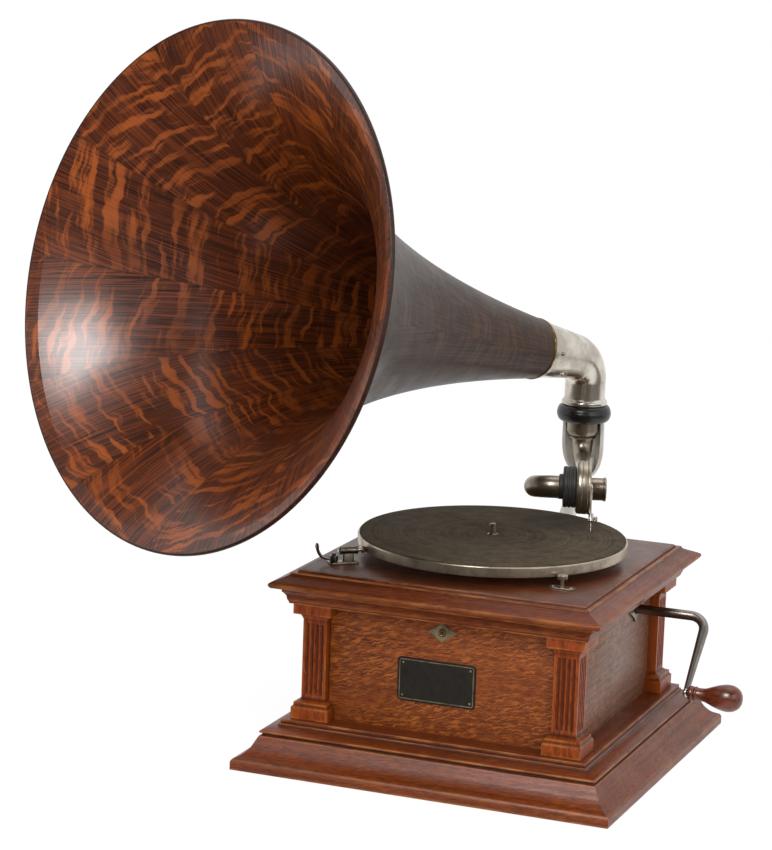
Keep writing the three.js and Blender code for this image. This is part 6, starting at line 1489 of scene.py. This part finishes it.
@dataclass
class Horn:
    """Oak horn of twelve gores with its ferrule and turned rim."""

    start: float = 83.0
    length: float = 448.5
    neck: float = 30.3
    mouth: float = 240.4
    wall: float = 4.6
    rim_room: float = 3.5
    rim_outer: float = 239.9
    rim_inner: float = 227.9
    rim_depth: float = 5.8
    lip: float = 2.4
    gores: int = 12
    columns: int = 14
    stations: int = 84
    throat_shade: float = 0.62
    throat_shade_start: float = 0.04
    throat_shade_run: float = 0.4

    def radius(self, share: float) -> float:
        """Gives the outer radius at a share of the length."""
        growth = 0.9 * share + 0.1 * share ** 5
        return self.neck * math.exp(math.log(self.mouth / self.neck) * growth)

    def inside(self, share: float) -> float:
        """Gives the inner radius at a share of the length."""
        step = 1e-4
        slope = (self.radius(share + step) - self.radius(share - step)) / (2 * step * self.length)
        return self.radius(share) - self.wall * math.hypot(1, slope)

    def shade(self, reach: float) -> float:
        """Gives how much painted shade darkens the inside at a distance from the pivot, most towards the
        throat.
        """
        depth = 1 - (reach - self.start) / self.length
        return self.throat_shade * min(max((depth - self.throat_shade_start) / self.throat_shade_run, 0.0), 1.0)

    def build(self) -> None:
        """Builds and dresses the horn."""
        self.home = (moved(0, PIVOT_Y, HORN_HEIGHT) @ turned_about("Z", HORN_AZIMUTH)
                     @ turned_about("Y", -HORN_ELEVATION))
        end = 1 - self.rim_room / self.length
        shares = [end * math.sin(QUARTER * i / self.stations) for i in range(self.stations + 1)]
        walls = [[(self.start + share * self.length, radius(share)) for share in shares]
                 for radius in (self.inside, self.radius)]
        skin = Skin()
        run = self.gored(skin, walls[0], 0.0, 0)
        self.gored(skin, walls[1], 0.0, 1)
        self.gored(skin, [walls[0][-1], walls[1][-1]], run, 1)
        self.gored(skin, [walls[0][0], walls[1][0]], 0.0, 1)
        fit(skin, "horn_gores", "horn", ("horn_bell",), Finish.HORN_INSIDE, Finish.HORN_OUTSIDE, crease=40.0)
        self.rim(walls[0][-1], run)
        self.ferrule()

    def gored(self, skin: Skin, profile: list[Pair], run: float, finish: int) -> float:
        """Adds a surface round the horn's axis, gore by gore, each the mirror of its neighbour.

        Args:
            skin: The mesh that it joins.
            profile: Distance from the pivot and radius of each ring.
            run: Length of the grain before the first ring.
            finish: Number of the finish.

        Returns:
            Length of the grain up to the last ring.
        """
        width = TURN / self.gores
        runs = [run]
        for a, b in zip(profile, profile[1:]):
            runs.append(runs[-1] + math.dist(a, b))
        shares = [j / self.columns for j in range(self.columns + 1)]
        for gore in range(self.gores):
            angles = [(gore + s) * width for s in shares]
            folds = [(s if gore % 2 else 1 - s) - 0.5 for s in shares]
            rows = [[self.home @ Vector((x, r * math.cos(a), r * math.sin(a))) for a in angles]
                    for x, r in profile]
            grain = [[(along, fold * r * width) for fold in folds] for (_, r), along in zip(profile, runs)]
            leaf = [[(3.7 * gore, min(s, 1 - s)) for s in shares]] * len(profile)
            # Painted shade on the inside, deepening towards the throat.
            marks = [[(0.0, self.shade(x) * (finish == 0))] * len(shares) for x, _ in profile]
            skin.grid(rows, {Layer.GRAIN: grain, Layer.LEAF: leaf, Layer.MARKS: marks}, finish=finish)
        return runs[-1]

    def rim(self, end: Pair, run: float) -> None:
        """Adds the turned rim in front of the mouth: the bell's oak runs on to a narrow dark lip.

        Args:
            end: Distance from the pivot and radius of the bell's inner edge.
            run: Length of the bell's grain up to the rim.
        """
        back = end[0] + SEAT_GAP
        outer, inner, front = self.rim_outer, self.rim_inner, back + self.rim_depth
        lip = outer - self.lip
        shares = (0, 0.3, 0.6, 0.9, 0.96, 1)
        face = [(end[0] + (front - 0.5 - end[0]) * t, end[1] + (lip - end[1]) * t) for t in shares]
        edge = [(front - 0.5, lip), (front, lip + 0.9), (front - 0.8, outer - 0.6), (front - 2.2, outer),
                (back + 1.6, outer), (back, outer - 1.6), (back, inner), (back + 0.2, inner)]
        skin = Skin()
        self.gored(skin, face, run, 0)
        self.gored(skin, rounded(edge, 0.7, 3), run, 1)
        fit(skin, "horn_rim_wood", "horn", ("horn_rim",), Finish.HORN_INSIDE, Finish.RIM)

    def ferrule(self) -> None:
        """Adds the brass ferrule that slips into the elbow."""
        axis = self.home @ ALONG_X
        tube = [(24.0, 55.6), (25.2, 55.6), (25.2, 79.6), (29.6, 79.6), (30.7, 80.4), (31.0, 81.4),
                (30.7, 82.3), (30.2, 82.7), (25.2, 82.7), (25.2, 93.0), (24.0, 93.0), (24.0, 55.6)]
        turn(tube, 0.3, 96, axis, "horn_ferrule_brass", "horn", "horn_ferrule", Finish.OLD_BRASS)


@dataclass
class SpeedControl:
    """Speed plate with its two screws and the knurled knob."""

    place: Pair = (99.38, -87.74)

    def build(self) -> None:
        """Builds and dresses the speed control."""
        x, y = self.place
        home = moved(x, y, DECK_TOP + SEAT_GAP)
        skin = Skin().plate(rounded_box(25.0, 9.98, 4.98, 10), 1.4, 0.4, home, hole=2.1)
        for side in (-1, 1):
            skin.screw(2.2, 1.3, 0.3, home @ moved(side * 8.4, 0, 1.35) @ turned_about("Z", 0.6 * side))
        fit(skin, "speed_plate_metal", "case", ("speed_plate",), Finish.AGED_NICKEL)
        screw = [(0.0, 160.0), (1.7, 160.0), (1.7, 194.8), (4.5, 194.8), (4.8, 195.2), (4.8, 198.3),
                 (4.5, 198.6), (3.9, 199.3), (0.0, 199.4)]
        turn(screw, 0.2, 144, moved(x, y, 0), "speed_knob", "speed_screw", "speed_screw", Finish.WORN_NICKEL,
             ripple=lambda a: 1 - 0.02 * (1 + math.cos(36 * a)))


@dataclass
class Brake:
    """Brake beside the turntable: tube on its base, plunger with a leather pad, and finger lever."""

    angle: float = math.radians(-139)
    height: float = 198.0
    base_reach: float = 148.0
    web_reach: float = 143.0
    pivot_reach: float = 157.0
    finger_reach: float = 16.5
    finger_height: float = 203.0

    def build(self) -> None:
        """Builds and dresses the brake."""
        home = moved(0, SPINDLE_Y, 0) @ turned_about("Z", self.angle)
        low = DECK_TOP + SEAT_GAP
        base = home @ moved(self.base_reach, 0, low)
        skin = Skin().plate(rounded_box(28.0, 12.0, 2.0), 1.8, 0.4, base)
        for side in (3.4, -3.4):
            skin.screw(1.6, 0.9, 0.25, base @ moved(-10.5, side, 1.75))
        tube = [(2.1, 134.0), (3.4, 134.0), (3.7, 134.4), (3.7, 135.6), (3.4, 136.0), (3.4, 150.0),
                (3.7, 150.4), (3.7, 151.6), (3.4, 152.0), (2.1, 152.0), (2.1, 134.0)]
        skin.lathe(rounded(tube, 0.2), 48, home @ moved(0, 0, self.height) @ ALONG_X)
        web = rounded_box(10.6, 3.7, 1.2)
        skin.plate(web, self.height - 2.6 - low, 0.1, home @ moved(self.web_reach, 0, low))
        top = self.height - 1.9
        post = [(0.0, low), (2.0, low), (2.0, top - 0.5), (1.6, top), (0.0, top)]
        skin.lathe(post, 32, home @ moved(self.pivot_reach, 0, 0))
        fit(skin, "brake_base_metal", "case", ("brake_base",), Finish.FITTING)
        axis = home @ moved(0, 0, self.height) @ ALONG_X
        rod = [(0.0, 130.0), (3.1, 130.0), (3.1, 131.2), (1.7, 131.2), (1.7, 152.8), (1.5, 153.0),
               (0.0, 153.0)]
        turn(rod, 0.2, 40, axis, "brake_plunger_rod", "brake_plunger", "brake_plunger", Finish.NICKEL)
        pad = [(0.0, 127.3), (2.8, 127.3), (3.1, 127.7), (3.1, 129.4), (2.9, 129.7), (0.0, 129.7)]
        turn(pad, 0.3, 40, axis, "brake_leather_pad", "brake_plunger", "brake_pad", Finish.LEATHER)
        self.lever(home, low + 1.8 + SEAT_GAP)

    def lever(self, home: Matrix, low: float) -> None:
        """Adds the finger lever with its hub.

        Args:
            home: The brake's place.
            low: Height of the hub's foot.
        """
        high = self.height - 3.7 - SEAT_GAP
        middle = (low + high) / 2
        hub = [(2.4, low), (4.0, low), (4.0, high), (2.4, high), (2.4, low)]
        skin = Skin().lathe(rounded(hub, 0.5), 40, home @ moved(self.pivot_reach, 0, 0))
        shares = [(0.2, 0), (0.4, 0.02), (0.68, 0.14), (0.86, 0.42), (0.96, 0.72), (1, 1)]
        rise = self.finger_height - middle
        path = [Vector((self.pivot_reach + self.finger_reach * p.x, 0, middle + rise * p.y))
                for p in smoothed(shares, 5)]
        skin.sweep(path, [(1.5, 1.5)] * len(path), Y, 24, home)
        tip = moved(self.pivot_reach + self.finger_reach, 0, self.finger_height)
        skin.lathe(pearl(3.4, 1.7, 16), 40, home @ tip @ ALONG_X)
        fit(skin, "brake_lever_steel", "brake_lever", ("brake_lever",), Finish.STEEL)


@dataclass
class Motor:
    """Hidden spring motor, which keeps its solids."""

    brass: tuple[str, ...] = ("spindle_worm_wheel", "governor_disc")
    painted_before: tuple[str, ...] = ("spindle", "crank_pinion")

    def build(self) -> None:
        """Gives each solid of the motor its metal."""
        repaint(Finish.BRASS, *self.brass)
        metals = (Finish.BRASS, Finish.IRON, Finish.STEEL)
        for name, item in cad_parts.items():
            if item.hide_render or name in (*self.brass, *self.painted_before):
                continue
            slot = item.material_slots[0].material.name if item.material_slots else ""
            repaint(next((metal for metal in metals if metal.slot in slot), Finish.STEEL), name)


@dataclass
class Studio:
    """Camera, lamps, white floor and the cards that the metal mirrors."""

    eye: tuple[float, float, float] = (0.92309, -2.62262, 0.84542)
    yaw: float = math.radians(21.5305)
    pitch: float = math.radians(10.9454)
    roll: float = math.radians(1.9895)
    lens: float = 128.31
    shade: tuple[float, float, float, float] = (0.07, 0.055, 0.042, 1.0)
    soft_light: float = 0.68
    floor_reach: float = 40000.0
    floor_height: float = -0.4
    floor_glow: float = 1.06
    floor_share: float = 0.87
    aim: tuple[float, float, float] = (0.0, 0.0, 0.3)

    def build(self) -> None:
        """Sets up the whole studio."""
        bpy.context.scene.view_settings.view_transform = "Standard"
        self.camera()
        self.world()
        self.floor()
        self.card("front_card", (-0.3, -4.4, 1.9), (9.4, 5.0), (-0.3, 0.0, 1.2))
        self.card("floor_card", (0.5, -2.2, 0.002), (6.0, 4.0), (0.5, -2.2, 1.0))
        self.card("side_card", (2.0, -0.35, 0.002), (2.4, 2.5), (2.0, -0.35, 1.0))
        self.card("roof_card", (0.0, -2.05, 3.2), (6.0, 4.7), (0.0, -2.05, 0.0))
        self.lamp("key", (-0.25, -2.9, 2.6), 1.0, 52.0)
        # The sheen shows only as a gloss on varnish and metal, and the fill only as light.
        self.lamp("sheen", (-0.32, -3.0, 2.62), 1.8, 100.0).visible_diffuse = False
        self.lamp("fill", (1.6, -3.0, 0.9), 1.6, 44.0).visible_glossy = False
        self.lamp("side", (2.6, -1.6, 1.9), 1.6, 16.0)
        self.lamp("top", (0.2, 0.6, 2.8), 1.6, 10.0)

    def camera(self) -> None:
        """Adds the camera of the photograph."""
        flat = math.cos(self.pitch)
        forward = Vector((-math.sin(self.yaw) * flat, math.cos(self.yaw) * flat, -math.sin(self.pitch)))
        level = Vector((math.cos(self.yaw), math.sin(self.yaw), 0))
        above = level.cross(forward)
        right = level * math.cos(self.roll) + above * math.sin(self.roll)
        up = above * math.cos(self.roll) - level * math.sin(self.roll)
        lens = bpy.data.cameras.new("camera")
        lens.lens = self.lens
        camera = bpy.data.objects.new("camera", lens)
        view = Matrix((right, up, -forward)).transposed().to_4x4()
        camera.matrix_world = Matrix.Translation(self.eye) @ view
        bpy.context.scene.collection.objects.link(camera)
        bpy.context.scene.camera = camera

    def world(self) -> None:
        """Makes the world white to the eye and the mirrors, and a softer light on the object."""
        world = bpy.data.worlds.new("studio")
        bpy.context.scene.world = world
        world.use_nodes = True
        nodes = Nodes(world.node_tree)
        back = nodes.tree.nodes["Background"]
        level = nodes.add("MapRange", {0: nodes.seen_directly(), 3: self.soft_light, 4: 1.0})
        nodes.feed(back.inputs["Color"], (1, 1, 1, 1))
        nodes.feed(back.inputs["Strength"], level.outputs[0])

    def floor(self) -> None:
        """Adds the white floor, which keeps a soft shadow of the object."""
        reach, height = self.floor_reach, self.floor_height
        ring = [Vector((x * reach, y * reach, height)) for x, y in ((-1, -1), (1, -1), (1, 1), (-1, 1))]
        floor = Skin().cap(ring).make("studio_floor", 30.0)
        r = Recipe("studio_white")
        r.set(Base_Color=(0.9, 0.9, 0.9, 1), Roughness=1.0, Specular_IOR_Level=0.0)
        glow = r.add("Emission", {"Strength": self.floor_glow})
        share = r.times(r.seen_directly(), self.floor_share)
        blend = r.add("MixShader", {0: share, 1: r.shader.outputs[0], 2: glow.outputs[0]})
        r.feed(r.tree.nodes["Material Output"].inputs[0], blend.outputs[0])
        floor.data.materials.append(r.material)

    def card(self, name: str, place: tuple, size: Pair, toward: tuple) -> None:
        """Hangs a dark card that only mirrors see.

        Args:
            name: Its name.
            place: Its centre, in metres.
            size: Width and height, in metres.
            toward: The point that it faces, in metres.
        """
        w, h = size[0] / 2 / MM, size[1] / 2 / MM
        corners = [Vector((x, y, 0)) for x, y in ((-w, -h), (w, -h), (w, h), (-w, h))]
        card = Skin().cap(corners).make(name, 30.0)
        card.location = place
        card.rotation_euler = (Vector(toward) - Vector(place)).to_track_quat("Z", "Y").to_euler()
        r = Recipe(name)
        r.set(Base_Color=(0, 0, 0, 1), Emission_Color=self.shade, Emission_Strength=1.0, Roughness=1.0)
        card.data.materials.append(r.material)
        card.visible_camera = card.visible_diffuse = card.visible_shadow = False
        card.visible_transmission = False

    def lamp(self, name: str, place: tuple, size: float, power: float) -> bpy.types.Object:
        """Hangs a soft square lamp that shines at the object.

        Args:
            name: Its name.
            place: Where it hangs, in metres.
            size: Its side, in metres.
            power: Its power in watts.

        Returns:
            The lamp.
        """
        light = bpy.data.lights.new(name, "AREA")
        light.energy = power
        light.size = size
        lamp = bpy.data.objects.new(name, light)
        lamp.location = place
        lamp.rotation_euler = (Vector(self.aim) - Vector(place)).to_track_quat("-Z", "Y").to_euler()
        bpy.context.scene.collection.objects.link(lamp)
        return lamp


def main() -> None:
    """Builds the studio and every sub-assembly."""
    logging.basicConfig(level=logging.INFO, format="%(name)s: %(message)s")
    Studio().build()
    for assembly in (Case(), Trim(), Turntable(), Crank(), ToneArm(), Support(), Elbow(), Horn(),
                     SpeedControl(), Brake(), Motor()):
        log.info("building %s", type(assembly).__name__)
        assembly.build()


if __name__ == "__main__":
    main()
